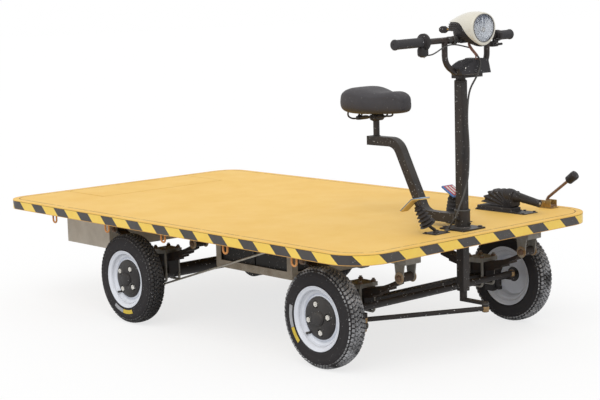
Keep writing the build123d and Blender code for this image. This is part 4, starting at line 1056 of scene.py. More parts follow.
def weld_bead(ring_r, z):
    """A round fillet weld with its ripples."""
    bead = []
    for angle in range(0, 360, 45):
        turn = math.radians(angle)
        bead.append((ring_r + weld_r * math.cos(turn), z + weld_r * math.sin(turn)))
    shape = lathe(bead, steps=weld_ripples * 4, closed=True, axis=upright_line)
    for vertex in shape.verts:
        wave = weld_r * math.cos(math.atan2(vertex.co.y, vertex.co.x) * weld_ripples)
        vertex.co.z += wave * weld_depth
        vertex.co.xy *= 1 + wave * weld_sway
    return shape


def sleeve_welds():
    shape = bmesh.new()
    absorb(shape, weld_bead(sleeve_outer_r, base_top_z), Matrix.Translation((column_x, 0, 0)))
    return shape


def sleeve_fasteners():
    """Four bolts in the base plate, and a clamp bolt and a grease nipple in the sleeve."""
    shape = bmesh.new()
    for dx in (-1, 1):
        for dy in (-1, 1):
            spot = (column_x + dx * base_bolt_reach, dy * base_bolt_reach, base_top_z)
            add_nut(shape, facing(spot, (0, 0, 1)), *base_bolt)
    for place, direction, sizes in sleeve_bolts:
        add_nut(shape, facing(place, direction), *sizes)
    return shape


sleeve_seal = turned(seal_line, (column_x, 0, sleeve_top_z), steps=64, closed=True)
neck_collar = turned(collar_line, (column_x, 0, collar_z), steps=64, closed=True)
piece("sleeve_welds", sleeve_welds(), weld_metal, "chassis")
piece("sleeve_fasteners", sleeve_fasteners(), column_black, "chassis")
piece("sleeve_seal", sleeve_seal, hard_rubber, "chassis")
piece("neck_collar", neck_collar, column_black, "column")

# Handlebar: a straight steel tube on a bent riser, painted black and shiny where hands have polished it.
# Black tape binds the cable to it, and a long and a short rubber grip, a throttle and a lever clamp
# sit on it.
bar_x = 1.055
bar_z = 1.170
bar_r = 0.011
bar_frame = Matrix.Translation((bar_x, 0, bar_z)) @ Matrix.Rotation(math.radians(1.15), 4, "X")
bar_black = finish(
    "bar_black", (30, 28, 29), (56, 40, 32), 0.3, metallic=0.3, specular=0.4, patch_scale=26.0,
    patchiness=0.8, dust=0.08, specks=0.5, grain_scale=500.0,
)
dress(bar_black, "handlebar")
grip_rubber = finish(
    "grip_rubber", (42, 41, 44), (56, 54, 56), 0.6, relief=0.0001, patch_scale=50.0, dust=0.2,
    dust_colour=rgb(110, 108, 108), specks=0.7, grain_scale=900.0, specular=0.4,
)
control_plastic = finish(
    "control_plastic", (30, 29, 31), (50, 42, 40), 0.45, specular=0.3, patch_scale=34.0, dust=0.25,
    dust_colour=rgb(98, 92, 90), specks=0.5, grain_scale=700.0,
)
# Where each grip starts and ends along the bar
grip_spans = [(-0.2355, -0.3735), (0.1835, 0.2495)]
grip_r = 0.0168
grip_row = 0.0022
knurl_start = 0.010
knurl_end = 0.016
knurl_height = 0.0007
knurl_turns = 14
knurl_pitch = 0.011
knurl_floor = -0.15
throttle_line = [
    (0.0113, -0.2350), (0.0210, -0.2350), (0.0226, -0.2336), (0.0226, -0.2300), (0.0240, -0.2286),
    (0.0296, -0.2280), (0.0310, -0.2266), (0.0310, -0.2178), (0.0298, -0.2160), (0.0250, -0.2155),
    (0.0245, -0.2120), (0.0180, -0.2110), (0.0150, -0.2070), (0.0113, -0.2065),
]
clamp_line = [
    (0.0113, 0.1600), (0.0188, 0.1600), (0.0206, 0.1614), (0.0210, 0.1640), (0.0210, 0.1770),
    (0.0206, 0.1796), (0.0188, 0.1812), (0.0113, 0.1812),
]
# The throttle's cable box, then the parts of the lever clamp and its switch pod, each with
# its two corners in the bar's own frame, its edge radius and its segments
control_boxes = [
    ((-0.0150, -0.2475, -0.0530), (0.0150, -0.2075, -0.0140), 0.0120, 2),
    ((0.0090, 0.1620, -0.0120), (0.0270, 0.1790, 0.0120), 0.0040, 3),
    ((-0.0095, 0.1360, -0.0400), (0.0105, 0.1700, -0.0190), 0.0040, 3),
    ((0.0020, 0.1400, -0.0235), (0.0160, 0.1560, -0.0140), 0.0030, 3),
    ((0.0110, 0.1480, -0.0360), (0.0180, 0.1840, -0.0270), 0.0030, 2),
]
# Screws in the pod and the cable box: place, direction and sizes
control_screws = [
    ((0.0140, 0.1530, -0.0300), (1, 0, 0), (0.0040, 0.0030, 0.0, 16)),
    ((0.0, -0.2218, -0.0535), (0, 0, -1), (0.0036, 0.0028, 0.0, 16)),
]


def rubber_grip(inner, outer):
    """A grip with a rolled end and a diamond knurl, along the bar from inner to outer."""
    length = abs(outer - inner)
    rows = int(length / grip_row)
    line = [(0.0112, 0.0), (0.0186, 0.0), (0.0192, 0.0016), (0.0188, 0.0036), (grip_r, 0.0048)]
    line += [(grip_r, 0.006 + (length - 0.020) * row / rows) for row in range(rows + 1)]
    line += [
        (grip_r, length - 0.0125), (0.0184, length - 0.0105), (0.0192, length - 0.0080),
        (0.0190, length - 0.0040), (0.0172, length - 0.0012), (0.0130, length), (0.0050, length),
        (0.0035, length - 0.0015), (0.0, length - 0.0015),
    ]
    shape = lathe(line, steps=84)
    for vertex in shape.verts:
        along = vertex.co.y
        if knurl_start < along < length - knurl_end:
            turn = math.atan2(vertex.co.z, vertex.co.x) * knurl_turns
            climb = along / knurl_pitch * 2 * math.pi
            wave = math.cos(turn + climb) * math.cos(turn - climb)
            grown = 1 + knurl_height / grip_r * max(wave, knurl_floor)
            vertex.co.x *= grown
            vertex.co.z *= grown
    side = 1 if outer > inner else -1
    placed = bmesh.new()
    absorb(placed, shape, Matrix.Translation((0, inner, 0)) @ Matrix.Diagonal((1, side, 1, 1)))
    return placed


def soft_box(shape, low, high, bevel, segments=3, matrix=Matrix.Identity(4)):
    """A moulded box between two corners, its edges rounded."""
    low, high = Vector(low), Vector(high)
    made = bmesh.ops.create_cube(shape, size=1.0)["verts"]
    placed = matrix @ Matrix.Translation((low + high) / 2) @ Matrix.Diagonal((*(high - low), 1))
    bmesh.ops.transform(shape, matrix=placed, verts=made)
    soften(shape, edges_of(made), bevel, segments)


def hand_controls():
    """Grips, throttle and lever clamp, all in the bar's own frame."""
    whole = bmesh.new()
    for inner, outer in grip_spans:
        absorb(whole, rubber_grip(inner, outer))
    rubber = set(whole.faces)
    absorb(whole, lathe(throttle_line, steps=72, closed=True))
    absorb(whole, lathe(clamp_line, steps=64, closed=True))
    for low, high, bevel, segments in control_boxes:
        soft_box(whole, low, high, bevel, segments)
    plastic = paint_rest(whole, rubber, 1)
    for place, direction, sizes in control_screws:
        add_nut(whole, facing(place, direction), *sizes)
    paint_rest(whole, plastic, 2)
    bmesh.ops.transform(whole, matrix=bar_frame, verts=whole.verts)
    return whole


piece(
    "grips_and_controls", hand_controls(), [grip_rubber, control_plastic, nut_zinc], "column",
    ["hand_controls"], sharp=40.0,
)
# Each tape wrap: where it starts along the bar, its width and its thickness
wraps = [(-0.098, 0.016, 0.0012), (-0.074, 0.020, 0.0018), (-0.040, 0.014, 0.0010)]
wrap_end = 0.001
thickest_wrap = 0.0018
wrap_sag = 0.32


def bar_wraps():
    """Turns of black tape that bind the cable to the bar, thicker below it, where the cable runs."""
    shape = bmesh.new()
    for start, width, grown in wraps:
        end = start + width
        ring = lathe([
            (bar_r, start), (bar_r + grown, start + wrap_end), (bar_r + grown * 1.3, start + width * 0.4),
            (bar_r + grown * 0.8, start + width * 0.6), (bar_r + grown, end - wrap_end), (bar_r, end),
        ], steps=48)
        for vertex in ring.verts:
            if vertex.co.z < 0:
                vertex.co.z *= 1.0 + wrap_sag * grown / thickest_wrap
        absorb(shape, ring, bar_frame)
    return shape


tape_black = finish("tape_black", (30, 29, 30), (48, 46, 46), 0.5, patch_scale=80.0, dust=0.15, specks=0.3)
piece("bar_tape_wraps", bar_wraps(), tape_black, "column")

# Dash cover: a moulded black plastic arch over the riser's foot, with grip ridges across its right shoulder.
# One pale screw holds its front, and it has a fine grained surface.
dash_front_x = 1.087
dash_arc_y = 0.0360
dash_arc_z = 0.9109
dash_arc_r = 0.1872
dash_ridges = 11
dash_ridge_start = -0.069
dash_ridge_pitch = 0.0068
dash_proud = 0.0004
# Each ridge runs over the top and then drops down the front, and each next one is shorter by a step
ridge_r = 0.0019
ridge_length = 0.050
ridge_step = 0.0012
drop_r = 0.0017
drop_tip_r = 0.0012
drop_length = 0.020
drop_step = 0.0011
ridge_sides = 10
dash_screw_size = (0.0032, 0.0018, 0.0, 20)
dash_screw_place = (dash_front_x - 0.0005, -0.0396, 1.0653)
dash_plastic = finish(
    "dash_plastic", (40, 39, 42), (50, 47, 50), 0.5, specular=0.3, relief=0.0003, patch_scale=22.0,
    patchiness=0.6, dust=0.3, dust_colour=rgb(88, 85, 87), specks=0.35, grain_scale=800.0,
)
dress(dash_plastic, "dash_housing")


def dash_trim():
    """Ridges over the top of the right shoulder, which turn down at the front."""
    shape = bmesh.new()
    for index in range(dash_ridges):
        y = dash_ridge_start + index * dash_ridge_pitch
        z = dash_arc_z + math.sqrt(dash_arc_r ** 2 - (y - dash_arc_y) ** 2)
        front = dash_front_x + dash_proud
        run = ridge_length - ridge_step * index
        drop = drop_length - drop_step * index
        add_cone(shape, ridge_r, ridge_r, run, facing((front - run, y, z), (1, 0, 0)), ridge_sides)
        add_cone(shape, drop_r, drop_tip_r, drop, facing((front, y, z), (0, 0, -1)), ridge_sides)
    return shape


def dash_screw():
    shape = bmesh.new()
    add_nut(shape, facing(dash_screw_place, (1, 0, 0)), *dash_screw_size)
    return shape


piece("dash_ridges", dash_trim(), dash_plastic, "column")
piece("dash_screw", dash_screw(), nut_zinc, "column")

# Headlamp: a cream plastic hood with an egg-shaped lens, on a ribbed black lower body that hides its clamp.
# Behind the clear lens a shallow plated bowl holds a bare bulb, and the ignition key stands out of its back.
lamp_front_x = 1.143
lamp_z = 1.202
lens_centre_z = 1.2055
hood_line = [
    # distance behind the bezel and radius
    (0.0, 0.0575), (0.0008, 0.0592), (0.003, 0.0606), (0.010, 0.0626), (0.020, 0.0641), (0.034, 0.0651),
    (0.051, 0.0648), (0.068, 0.0628), (0.085, 0.0592), (0.102, 0.0542), (0.119, 0.0480), (0.136, 0.0410),
    (0.150, 0.0350), (0.160, 0.0300), (0.165, 0.0255), (0.1675, 0.0180), (0.168, 0.0),
]
bowl_line = [
    (0.050, 0.0), (0.050, 0.0150), (0.034, 0.0270), (0.018, 0.0400), (0.0075, 0.0498), (0.0045, 0.0512),
    (0.0012, 0.0524), (0.0, 0.0540), (-0.02, 0.0540), (-0.02, 0.0),
]
reflector_line = [
    (0.0065, 0.0505), (0.0080, 0.0480), (0.0105, 0.0400), (0.0125, 0.0320), (0.0140, 0.0240),
    (0.0150, 0.0160), (0.0155, 0.0125), (0.0140, 0.0110), (0.0135, 0.0060), (0.0135, 0.0),
]
flute_depth = 0.0006
flute_pitch = 0.0085
# The flutes lie between these distances behind the bezel
flute_front = 0.008
flute_back = 0.015
# How closely the streaks, painted reflection in the colour and a change of roughness, lie across and up the
# bowl, and how fast the painted reflection darkens towards the top
streaks_across = 150.0
streaks_up = 28.0
painted_reflection_darkening = 9.0
bulb_line = [
    (0.0136, 0.0), (0.0136, 0.0050), (0.0120, 0.0054), (0.0108, 0.0078), (0.0094, 0.0086),
    (0.0080, 0.0070), (0.0070, 0.0035), (0.0068, 0.0),
]
bulb_drop = 0.004
ring_line = [
    (0.0040, 0.0522), (-0.0004, 0.0530), (-0.0012, 0.0520), (-0.0010, 0.0506), (0.0030, 0.0498),
    (0.0040, 0.0500),
]
lens_line = [
    (0.0026, 0.0500), (-0.0010, 0.0470), (-0.0030, 0.0400), (-0.0046, 0.0280), (-0.0055, 0.0140),
    (-0.0058, 0.0),
]
lens_thickness = 0.0018
lens_inner_share = 0.985
# The hood's swept lower edge, and the corners of what is cut away below it, as X and Z
swoop = [
    (0.950, 1.2300), (1.010, 1.2300), (1.044, 1.2310), (1.066, 1.2300), (1.080, 1.2262), (1.094, 1.2170),
    (1.106, 1.2020), (1.118, 1.1840), (1.130, 1.1660), (1.137, 1.1520), (1.139, 1.1100), (0.950, 1.1100),
]
swoop_half_width = 0.09
hood_radius = 0.062
lens_radius = 0.052
egg_reach = 0.13
egg_width = 0.05
egg_skew = 0.11
lower_squash = 0.93
# How far below the hood's edge each rib of the lower body lies, and where the ribs end
rib_starts = (0.007, 0.0145, 0.022)
rib_radius = 0.0013
rib_sunk = 0.0012
rib_low_z = 1.178
# A rib lies on the hood's widest row among those this near to it along the axis
hood_row = 0.018
run_resolution = 10
barrel_place = (0.990, 0, 1.2030)
barrel_line = [
    (0.0, 0.0), (0.0072, 0.0), (0.0078, 0.0010), (0.0078, 0.0050), (0.0062, 0.0060), (0.0062, 0.0140),
    (0.0050, 0.0150), (0.0040, 0.0152), (0.0040, 0.0250), (0.0, 0.0250),
]
key_head_place = (0.9465, 0, 1.2015)
key_head_stretch = 1.62
key_head_line = [
    (0.0, -0.0045), (0.0120, -0.0045), (0.0140, -0.0030), (0.0140, 0.0030), (0.0120, 0.0045), (0.0, 0.0045),
]
key_neck = ((0.9360, -0.0056, 1.1950), (0.9570, 0.0056, 1.2080), 0.0020, 2)


def lamp_frame(centre_z):
    """The lamp's axis points forward, so a lathed line of radius and distance behind lies along -X."""
    return Matrix.Translation((lamp_front_x, 0, centre_z)) @ Matrix.Rotation(math.radians(90), 4, "Z")


def egg(shape, centre_z, radius):
    """Widens the top and narrows the foot, most at the bezel and none beyond the egg's reach behind it."""
    for vertex in shape.verts:
        fade = max(0.0, 1.0 - max(0.0, lamp_front_x - vertex.co.x) / egg_reach)
        share = (vertex.co.z - centre_z) / radius
        vertex.co.y *= 1 + fade * (egg_width + egg_skew * share)
        if share < 0:
            vertex.co.z = centre_z + (vertex.co.z - centre_z) * (1 - fade * (1 - lower_squash))


def lamp_turned(line, centre_z=lens_centre_z, radius=lens_radius, steps=96, closed=False):
    """A form turned about the lamp's axis, then made egg-shaped towards the bezel."""
    shape = bmesh.new()
    radii_first = [(r, behind) for behind, r in line]
    absorb(shape, lathe(radii_first, steps=steps, closed=closed), lamp_frame(centre_z))
    egg(shape, centre_z, radius)
    return shape


def swoop_block():
    """What the hood leaves open below its swept edge."""
    shape = bmesh.new()
    face = shape.faces.new([shape.verts.new((x, -swoop_half_width, z)) for x, z in swoop])
    grown = bmesh.ops.extrude_face_region(shape, geom=[face])["geom"]
    bmesh.ops.translate(shape, verts=only_vertices(grown), vec=(0, 2 * swoop_half_width, 0))
    bmesh.ops.recalc_face_normals(shape, faces=shape.faces)
    return shape


def lamp_hood():
    """The turned hood, with the bowl and all that lies below its swept edge cut out."""
    outer = lamp_turned(hood_line[::-1] + [(0.0, 0.0)], lamp_z, hood_radius)
    bowl = lamp_turned(bowl_line[::-1])
    for shape in (outer, bowl):
        bmesh.ops.recalc_face_normals(shape, faces=shape.faces)
    return carve(carve(outer, bowl), swoop_block())


lamp_cream = finish(
    "lamp_cream", (226, 222, 208), (214, 207, 188), 0.28, relief=0.00008, coat=0.5, patch_scale=12.0,
    patchiness=0.5, dust=0.12, dust_colour=rgb(176, 166, 146), specks=0.25, grain_scale=600.0,
)
piece("lamp_hood", lamp_hood(), lamp_cream, "column", ["headlamp_shell"], sharp=40.0)
dress(control_plastic, "headlamp_body")


def bare_material(name):
    """A new material, its node tree and its shader."""
    material = bpy.data.materials.new(name)
    material.use_nodes = True
    return material, material.node_tree, material.node_tree.nodes["Principled BSDF"]


def plated_bowl():
    """Bright plating with painted reflection: upright streaks and a darker top, painted into its colour,
    stand in for its flutes mirroring a dark room.
    """
    material, tree, shader = bare_material("plated_bowl")
    parts = put(tree, "SeparateXYZ", {0: put(tree, "TexCoord").outputs["Object"]}).outputs
    across = maths(tree, "MULTIPLY", parts["Y"], streaks_across)
    up = maths(tree, "MULTIPLY", parts["Z"], streaks_up)
    streak = put(tree, "CombineXYZ", {0: 0.0, 1: across, 2: up}).outputs[0]
    ripple = noise(tree, streak, scale=1.0, detail=1.0)
    height = maths(tree, "MULTIPLY", maths(tree, "SUBTRACT", parts["Z"], lens_centre_z), painted_reflection_darkening)
    # Painted reflection: the colour goes from bright to dark blue-grey along the streaks and towards the
    # bowl's top.
    shade = ranged(tree, maths(tree, "ADD", ripple, height), 0.62, 0.92)
    colour = mixed(tree, shade, rgb(240, 242, 246), rgb(128, 134, 152))
    tree.links.new(colour, shader.inputs["Base Color"])
    tree.links.new(ranged(tree, ripple, to_low=0.12, to_high=0.3), shader.inputs["Roughness"])
    shader.inputs["Metallic"].default_value = 0.25
    return material


def lamp_glass():
    """Clear glass with a faint smear of dust."""
    material, tree, shader = bare_material("lamp_glass")
    smear = noise(tree, put(tree, "TexCoord").outputs["Object"], scale=45.0, detail=4.0)
    tree.links.new(ranged(tree, smear, to_low=0.02, to_high=0.08), shader.inputs["Roughness"])
    tint = mixed(tree, smear, rgb(255, 255, 255), rgb(236, 240, 244))
    tree.links.new(tint, shader.inputs["Base Color"])
    shader.inputs["Transmission Weight"].default_value = 1.0
    shader.inputs["IOR"].default_value = 1.25
    return material


def reflector():
    """The plated bowl with fine upright flutes, and the bright socket round the bulb."""
    shape = lamp_turned(reflector_line, steps=144)
    for vertex in shape.verts:
        if flute_front < lamp_front_x - vertex.co.x < flute_back:
            vertex.co.x += flute_depth * math.cos(vertex.co.y * 2 * math.pi / flute_pitch)
    return shape


def clear_lens():
    inner = [(behind + lens_thickness, r * lens_inner_share) for behind, r in reversed(lens_line)]
    shape = lamp_turned(lens_line + inner)
    bmesh.ops.remove_doubles(shape, verts=shape.verts, dist=merge_gap)
    return shape


ring_grey = finish("ring_grey", (120, 118, 118), (96, 94, 96), 0.4, patch_scale=60.0, dust=0.1)
bulb_white = finish(
    "bulb_white", (246, 244, 240), (236, 226, 220), 0.2, coat=0.5, patch_scale=200.0, dust=0.0, specks=0.0,
)
lamp_bulb = lamp_turned(bulb_line, lens_centre_z - bulb_drop, steps=32)
piece("lamp_reflector", reflector(), plated_bowl(), "column")
piece("lamp_bulb", lamp_bulb, bulb_white, "column")
piece("lamp_ring", lamp_turned(ring_line, closed=True), ring_grey, "column")
piece("lamp_lens", clear_lens(), lamp_glass(), "column", ["headlamp_lens"])


def run_curve(points):
    """An object with one smooth NURBS line through given points."""
    data = bpy.data.curves.new("run", "CURVE")
    data.dimensions = "3D"
    data.resolution_u = run_resolution
    spline = data.splines.new("NURBS")
    spline.points.add(len(points) - 1)
    for target, place in zip(spline.points, points):
        target.co = (*place, 1.0)
    spline.order_u = 3
    spline.use_endpoint_u = True
    made = bpy.data.objects.new("run", data)
    scene.collection.objects.link(made)
    return made


def curve_mesh(made):
    """The bmesh of a curve object. The object and its curve go."""
    data = made.data
    bpy.context.view_layer.update()
    shape = solid_of(made)
    bpy.data.curves.remove(data)
    return shape


def smooth_run(points, radius, sides=5):
    """A tube along a smooth line through given points."""
    made = run_curve(points)
    made.data.bevel_depth = radius
    made.data.bevel_resolution = sides
    made.data.use_fill_caps = True
    shape = curve_mesh(made)
    bmesh.ops.remove_doubles(shape, verts=shape.verts, dist=merge_gap)
    return shape


def body_ribs():
    """Moulded ribs on the lamp's lower body, which repeat the hood's swept edge."""
    shape = bmesh.new()
    for inward in rib_starts:
        for side in (-1, 1):
            line = []
            for (x, z), (next_x, next_z) in zip(swoop[1:9], swoop[2:10]):
                away = Vector((next_z - z, 0, x - next_x)).normalized() * inward
                spot_x, spot_z = x + away.x, z + away.z
                behind = lamp_front_x - spot_x
                reach = max(r for row, r in hood_line if abs(row - behind) < hood_row) - rib_sunk
                across = reach ** 2 - (spot_z - lamp_z) ** 2
                if spot_z > rib_low_z and across > 0:
                    line.append((spot_x, side * math.sqrt(across), spot_z))
            if len(line) > 3:
                absorb(shape, smooth_run(line, rib_radius, sides=2))
    return shape


piece("lamp_body_ribs", body_ribs(), control_plastic, "column")


def ignition_key():
    """A brass lock barrel in the lamp's back, with a black-headed key in it."""
    shape = bmesh.new()
    backward = facing(barrel_place, (-1, 0, 0)) @ Matrix.Rotation(math.pi / 2, 4, "X")
    absorb(shape, lathe(barrel_line, steps=32), backward)
    metal = set(shape.faces)
    head = lathe(key_head_line, steps=8)
    bmesh.ops.rotate(head, verts=head.verts, cent=(0, 0, 0), matrix=Matrix.Rotation(math.pi / 8, 3, "Y"))
    absorb(shape, head, Matrix.Translation(key_head_place) @ Matrix.Diagonal((key_head_stretch, 1, 1, 1)))
    soft_box(shape, *key_neck)
    paint_rest(shape, metal, 1)
    return shape


piece("ignition_key", ignition_key(), [brass, control_plastic], "column")

# Wiring: a black harness from the lamp, down in front of the dash cover and along the column to the deck.
# It ends in a rubber gland by the base plate, and the throttle's cable and brown lamp wires join it
# on the way.
harness_r = 0.0035
throttle_cable_r = 0.0025
brown_wire_r = 0.0026
column_route = [
    (1.077, -0.009, 1.1695), (1.077, -0.010, 1.150), (1.084, -0.001, 1.131), (1.092, 0.013, 1.113),
    (1.096, 0.028, 1.096), (1.097, 0.031, 1.070), (1.096, 0.018, 1.042), (1.088, 0.010, 1.021),
    (1.071, 0.003, 0.990), (1.061, 0.001, 0.950), (1.056, 0.0, 0.872), (1.056, 0.009, 0.780),
    (1.057, 0.005, 0.705), (1.056, 0.0, 0.650), (1.056, -0.022, 0.597), (1.053, -0.040, 0.562),
]
deck_route = [(1.052, -0.044, 0.556), (1.051, -0.052, 0.533), (1.035, -0.063, 0.498), (1.013, -0.067, 0.468)]
throttle_route = [
    (1.056, -0.2075, 1.119), (1.060, -0.191, 1.118), (1.065, -0.166, 1.128), (1.070, -0.142, 1.142),
    (1.072, -0.116, 1.150), (1.072, -0.088, 1.152), (1.073, -0.060, 1.149), (1.077, -0.034, 1.143),
    (1.081, -0.011, 1.1375),
]
brown_wires = [
    [
        (1.084, -0.012, 1.1640), (1.090, -0.020, 1.1500), (1.092, -0.010, 1.1360), (1.094, 0.006, 1.1200),
        (1.095, 0.022, 1.1060), (1.090, 0.027, 1.0930),
    ],
    [
        (1.082, -0.016, 1.1640), (1.087, -0.024, 1.1490), (1.090, -0.015, 1.1330), (1.092, 0.001, 1.1180),
        (1.092, 0.015, 1.1060), (1.084, 0.019, 1.0920),
    ],
]
gland_x, gland_y = deck_route[-1][:2]
gland_line = [
    (0.0036, 0.0), (0.0120, 0.0), (0.0124, 0.0014), (0.0100, 0.0036), (0.0072, 0.0060), (0.0060, 0.0110),
    (0.0046, 0.0122), (0.0036, 0.0120),
]
harness_black = finish(
    "harness_black", (34, 33, 34), (50, 46, 45), 0.48, patch_scale=70.0, dust=0.2, specks=0.4,
)
wire_brown = finish("wire_brown", (138, 92, 72), (96, 60, 48), 0.5, patch_scale=120.0, dust=0.25, specks=0.3)


def run_points(points):
    """The points of a run's smooth line, in order, as the curve itself gives them."""
    line = curve_mesh(run_curve(points))
    places = [vertex.co.copy() for vertex in line.verts]
    line.free()
    return places


throttle_cable = piece(
    "throttle_cable_run", smooth_run(throttle_route, throttle_cable_r), harness_black, "column",
    ["throttle_cable"],
)
run_points(throttle_route)
harness_route = column_route + deck_route
harness = piece(
    "harness_run", smooth_run(harness_route, harness_r), harness_black, None,
    ["column_harness", "deck_harness"],
)
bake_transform(harness)
run_points(harness_route)
for index, route in enumerate(brown_wires):
    piece("lamp_wire_%d" % (index + 1), smooth_run(route, brown_wire_r), wire_brown, "column")
harness_gland = turned(gland_line, (gland_x, gland_y, sheet_top), closed=True)
piece("harness_gland", harness_gland, hard_rubber, "chassis")

# Saddle: a broad foam cushion in black vinyl on a moulded base, with a deep skirt and a blunt nose.
# It is glued and stapled below, so only the roll between its top and its skirt shows.
saddle_back_x = 0.452
saddle_length = 0.302
saddle_rings = [
    # share of the length, half width, top, bottom
    (0.0, 0.052, 0.943, 0.898), (0.02, 0.074, 0.956, 0.889), (0.07, 0.090, 0.969, 0.881),
    (0.16, 0.101, 0.979, 0.876), (0.28, 0.104, 0.981, 0.875), (0.40, 0.100, 0.974, 0.875),
    (0.50, 0.088, 0.966, 0.876), (0.60, 0.070, 0.962, 0.877), (0.70, 0.056, 0.963, 0.878),
    (0.80, 0.048, 0.967, 0.880), (0.89, 0.043, 0.964, 0.882), (0.96, 0.036, 0.953, 0.887),
    (1.0, 0.022, 0.935, 0.896),
]
ring_points = 36
# Below one, these powers make each ring squarer than a circle
side_power = 0.5
top_power = 0.55
# The roll is a groove this deep, at this share of the height and this wide
roll_depth = 0.0055
roll_share = 0.62
roll_width = 0.07
skirt_tuck = 0.05
crown_narrowing = 0.12
crown_from = 0.45
vinyl = finish(
    "vinyl", (54, 53, 57), (66, 64, 67), 0.52, relief=0.0004, patch_scale=18.0, patchiness=0.6, dust=0.35,
    dust_colour=rgb(104, 98, 98), specks=0.12, grain_scale=520.0, specular=0.35,
)


def saddle_shape():
    """Rings of the cushion joined from the broad back to the nose."""
    shape = bmesh.new()
    loops = []
    for share, half, top, bottom in saddle_rings:
        made = bmesh.ops.create_circle(shape, segments=ring_points, radius=1.0)["verts"]
        middle = (top + bottom) / 2
        rise = (top - bottom) / 2
        for vertex in made:
            turn = math.atan2(vertex.co.y, vertex.co.x)
            across = math.copysign(abs(math.cos(turn)) ** side_power, math.cos(turn))
            up = math.copysign(abs(math.sin(turn)) ** top_power, math.sin(turn))
            level = (up + 1) / 2
            tuck = roll_depth * math.exp(-((level - roll_share) / roll_width) ** 2)
            flare = 1.0 - skirt_tuck * max(0.0, 1 - 2 * level)
            crown = 1.0 - crown_narrowing * max(0.0, level - crown_from) ** 1.5
            vertex.co = (
                saddle_back_x + share * saddle_length,
                across * (half * flare * crown - tuck),
                middle + up * rise,
            )
        loops += edges_of(made)
    bmesh.ops.bridge_loops(shape, edges=loops)
    bmesh.ops.holes_fill(shape, edges=[edge for edge in shape.edges if edge.is_boundary], sides=0)
    bmesh.ops.recalc_face_normals(shape, faces=shape.faces)
    made = passing_object(shape)
    smooth = made.modifiers.new("smooth", "SUBSURF")
    smooth.levels = 1
    smooth.render_levels = 1
    return solid_of(made)


saddle = piece("vinyl_saddle", saddle_shape(), vinyl, "chassis", ["saddle"], sharp=60.0)

# Seat post: a round tube in the arm, with a two-bolt drum clamp that grips the saddle's bent wire rails.
# It is plain black steel, worn at the clamp.
post_x = 0.583
post_r = 0.0125
post_low_z = 0.7875
post_high_z = 0.894
drum_x = post_x + 0.006
drum_z = 0.8620
drum_half = 0.0283
drum_line = [
    (0.0, -0.0285), (0.0095, -0.0285), (0.0125, -0.0270), (0.0140, -0.0235), (0.0140, -0.0130),
    (0.0128, -0.0120), (0.0128, 0.0120), (0.0140, 0.0130), (0.0140, 0.0235), (0.0125, 0.0270),
    (0.0095, 0.0285), (0.0, 0.0285),
]
drum_nut = (0.0082, 0.0060, 0.006)
# The clamp's block and the bar across the back of the rails: two corners and an edge radius
clamp_block = ((post_x - 0.020, -0.0165, 0.8500), (post_x + 0.020, 0.0165, 0.8720), 0.0035)
rail_bar = ((0.495, -0.0270, 0.8490), (0.513, 0.0270, 0.8640), 0.0030)
bar_bolt = (0.0070, 0.0060, 0.004)
bar_bolt_place = (0.504, -0.0150, 0.8630)
stay_r = 0.0048
stay_line = [(0.506, -0.010, 0.856), (0.540, -0.006, 0.859), (0.583, 0.0, 0.8620)]
rail_r = 0.0035
rail_line = [
    (0.662, 0.010, 0.896), (0.661, 0.014, 0.880), (0.655, 0.017, 0.868), (0.630, 0.0178, 0.8655),
    (0.590, 0.0178, 0.8655), (0.545, 0.0180, 0.8640), (0.505, 0.0205, 0.8560), (0.478, 0.0260, 0.8520),
    (0.462, 0.0340, 0.8600), (0.468, 0.0440, 0.8740), (0.484, 0.0500, 0.8900), (0.490, 0.0510, 0.8960),
]
arm_weld_r = 0.0030
arm_weld_side = [(0.9985, 0.0180, 0.4865), (0.9990, 0.0185, 0.5030), (0.9985, 0.0180, 0.5195)]
arm_weld_top = [(0.9975, -0.0170, 0.5205), (0.9960, 0.0, 0.5212), (0.9975, 0.0170, 0.5205)]


def mirrored(line, side):
    """A line of points on one side of the truck's middle plane or the other."""
    return [(x, side * y, z) for x, y, z in line]


def seat_post():
    """The post and its weld, the drum clamp, the rails, and the bar and stay that brace them."""
    post_line = [(0.0, post_low_z), (post_r, post_low_z), (post_r, post_high_z), (0.0, post_high_z)]
    shape = turned(post_line, (post_x, 0, 0), steps=48)
    absorb(shape, weld_bead(post_r, post_low_z), Matrix.Translation((post_x, 0, 0)))
    absorb(shape, lathe(drum_line, steps=48), Matrix.Translation((drum_x, 0, drum_z)))
    soft_box(shape, *clamp_block)
    for side in (-1, 1):
        absorb(shape, smooth_run(mirrored(rail_line, side), rail_r, sides=3))
        add_nut(shape, facing((drum_x, side * drum_half, drum_z), (0, side, 0)), *drum_nut)
    soft_box(shape, *rail_bar)
    add_nut(shape, facing(bar_bolt_place, (0, 0, 1)), *bar_bolt)
    absorb(shape, smooth_run(stay_line, stay_r, sides=3))
    return shape


piece("seat_post_and_rails", seat_post(), column_black, "chassis", ["seat_post"], sharp=40.0)


def arm_welds():
    """Weld runs where the square arm meets the sleeve."""
    shape = bmesh.new()
    for line in (mirrored(arm_weld_side, -1), arm_weld_side, arm_weld_top):
        absorb(shape, smooth_run(line, arm_weld_r, sides=2))
    return shape


piece("arm_welds", arm_welds(), weld_metal, "chassis")

# Pedals: bent steel pads on bent rods that come up through black foot plates on the deck.
# The accelerator's pad is silver over cream, and the brake's has a blue rim round a red and white
# rubber insert.
accelerator_profile = [
    (0.9290, 0.5500), (0.9560, 0.5730), (0.9800, 0.5930), (0.9880, 0.5985), (1.0000, 0.6010),
    (1.0420, 0.6070),
]
accelerator_y = -0.208
accelerator_half = 0.019
accelerator_thickness = 0.0042
# The silver sheet over it: how far it is moved back and up, how much wider it is on each side, its thickness
silver_back = 0.0012
silver_up = 0.0022
silver_wider = 0.0015
silver_thickness = 0.0022
tread_bars = 6
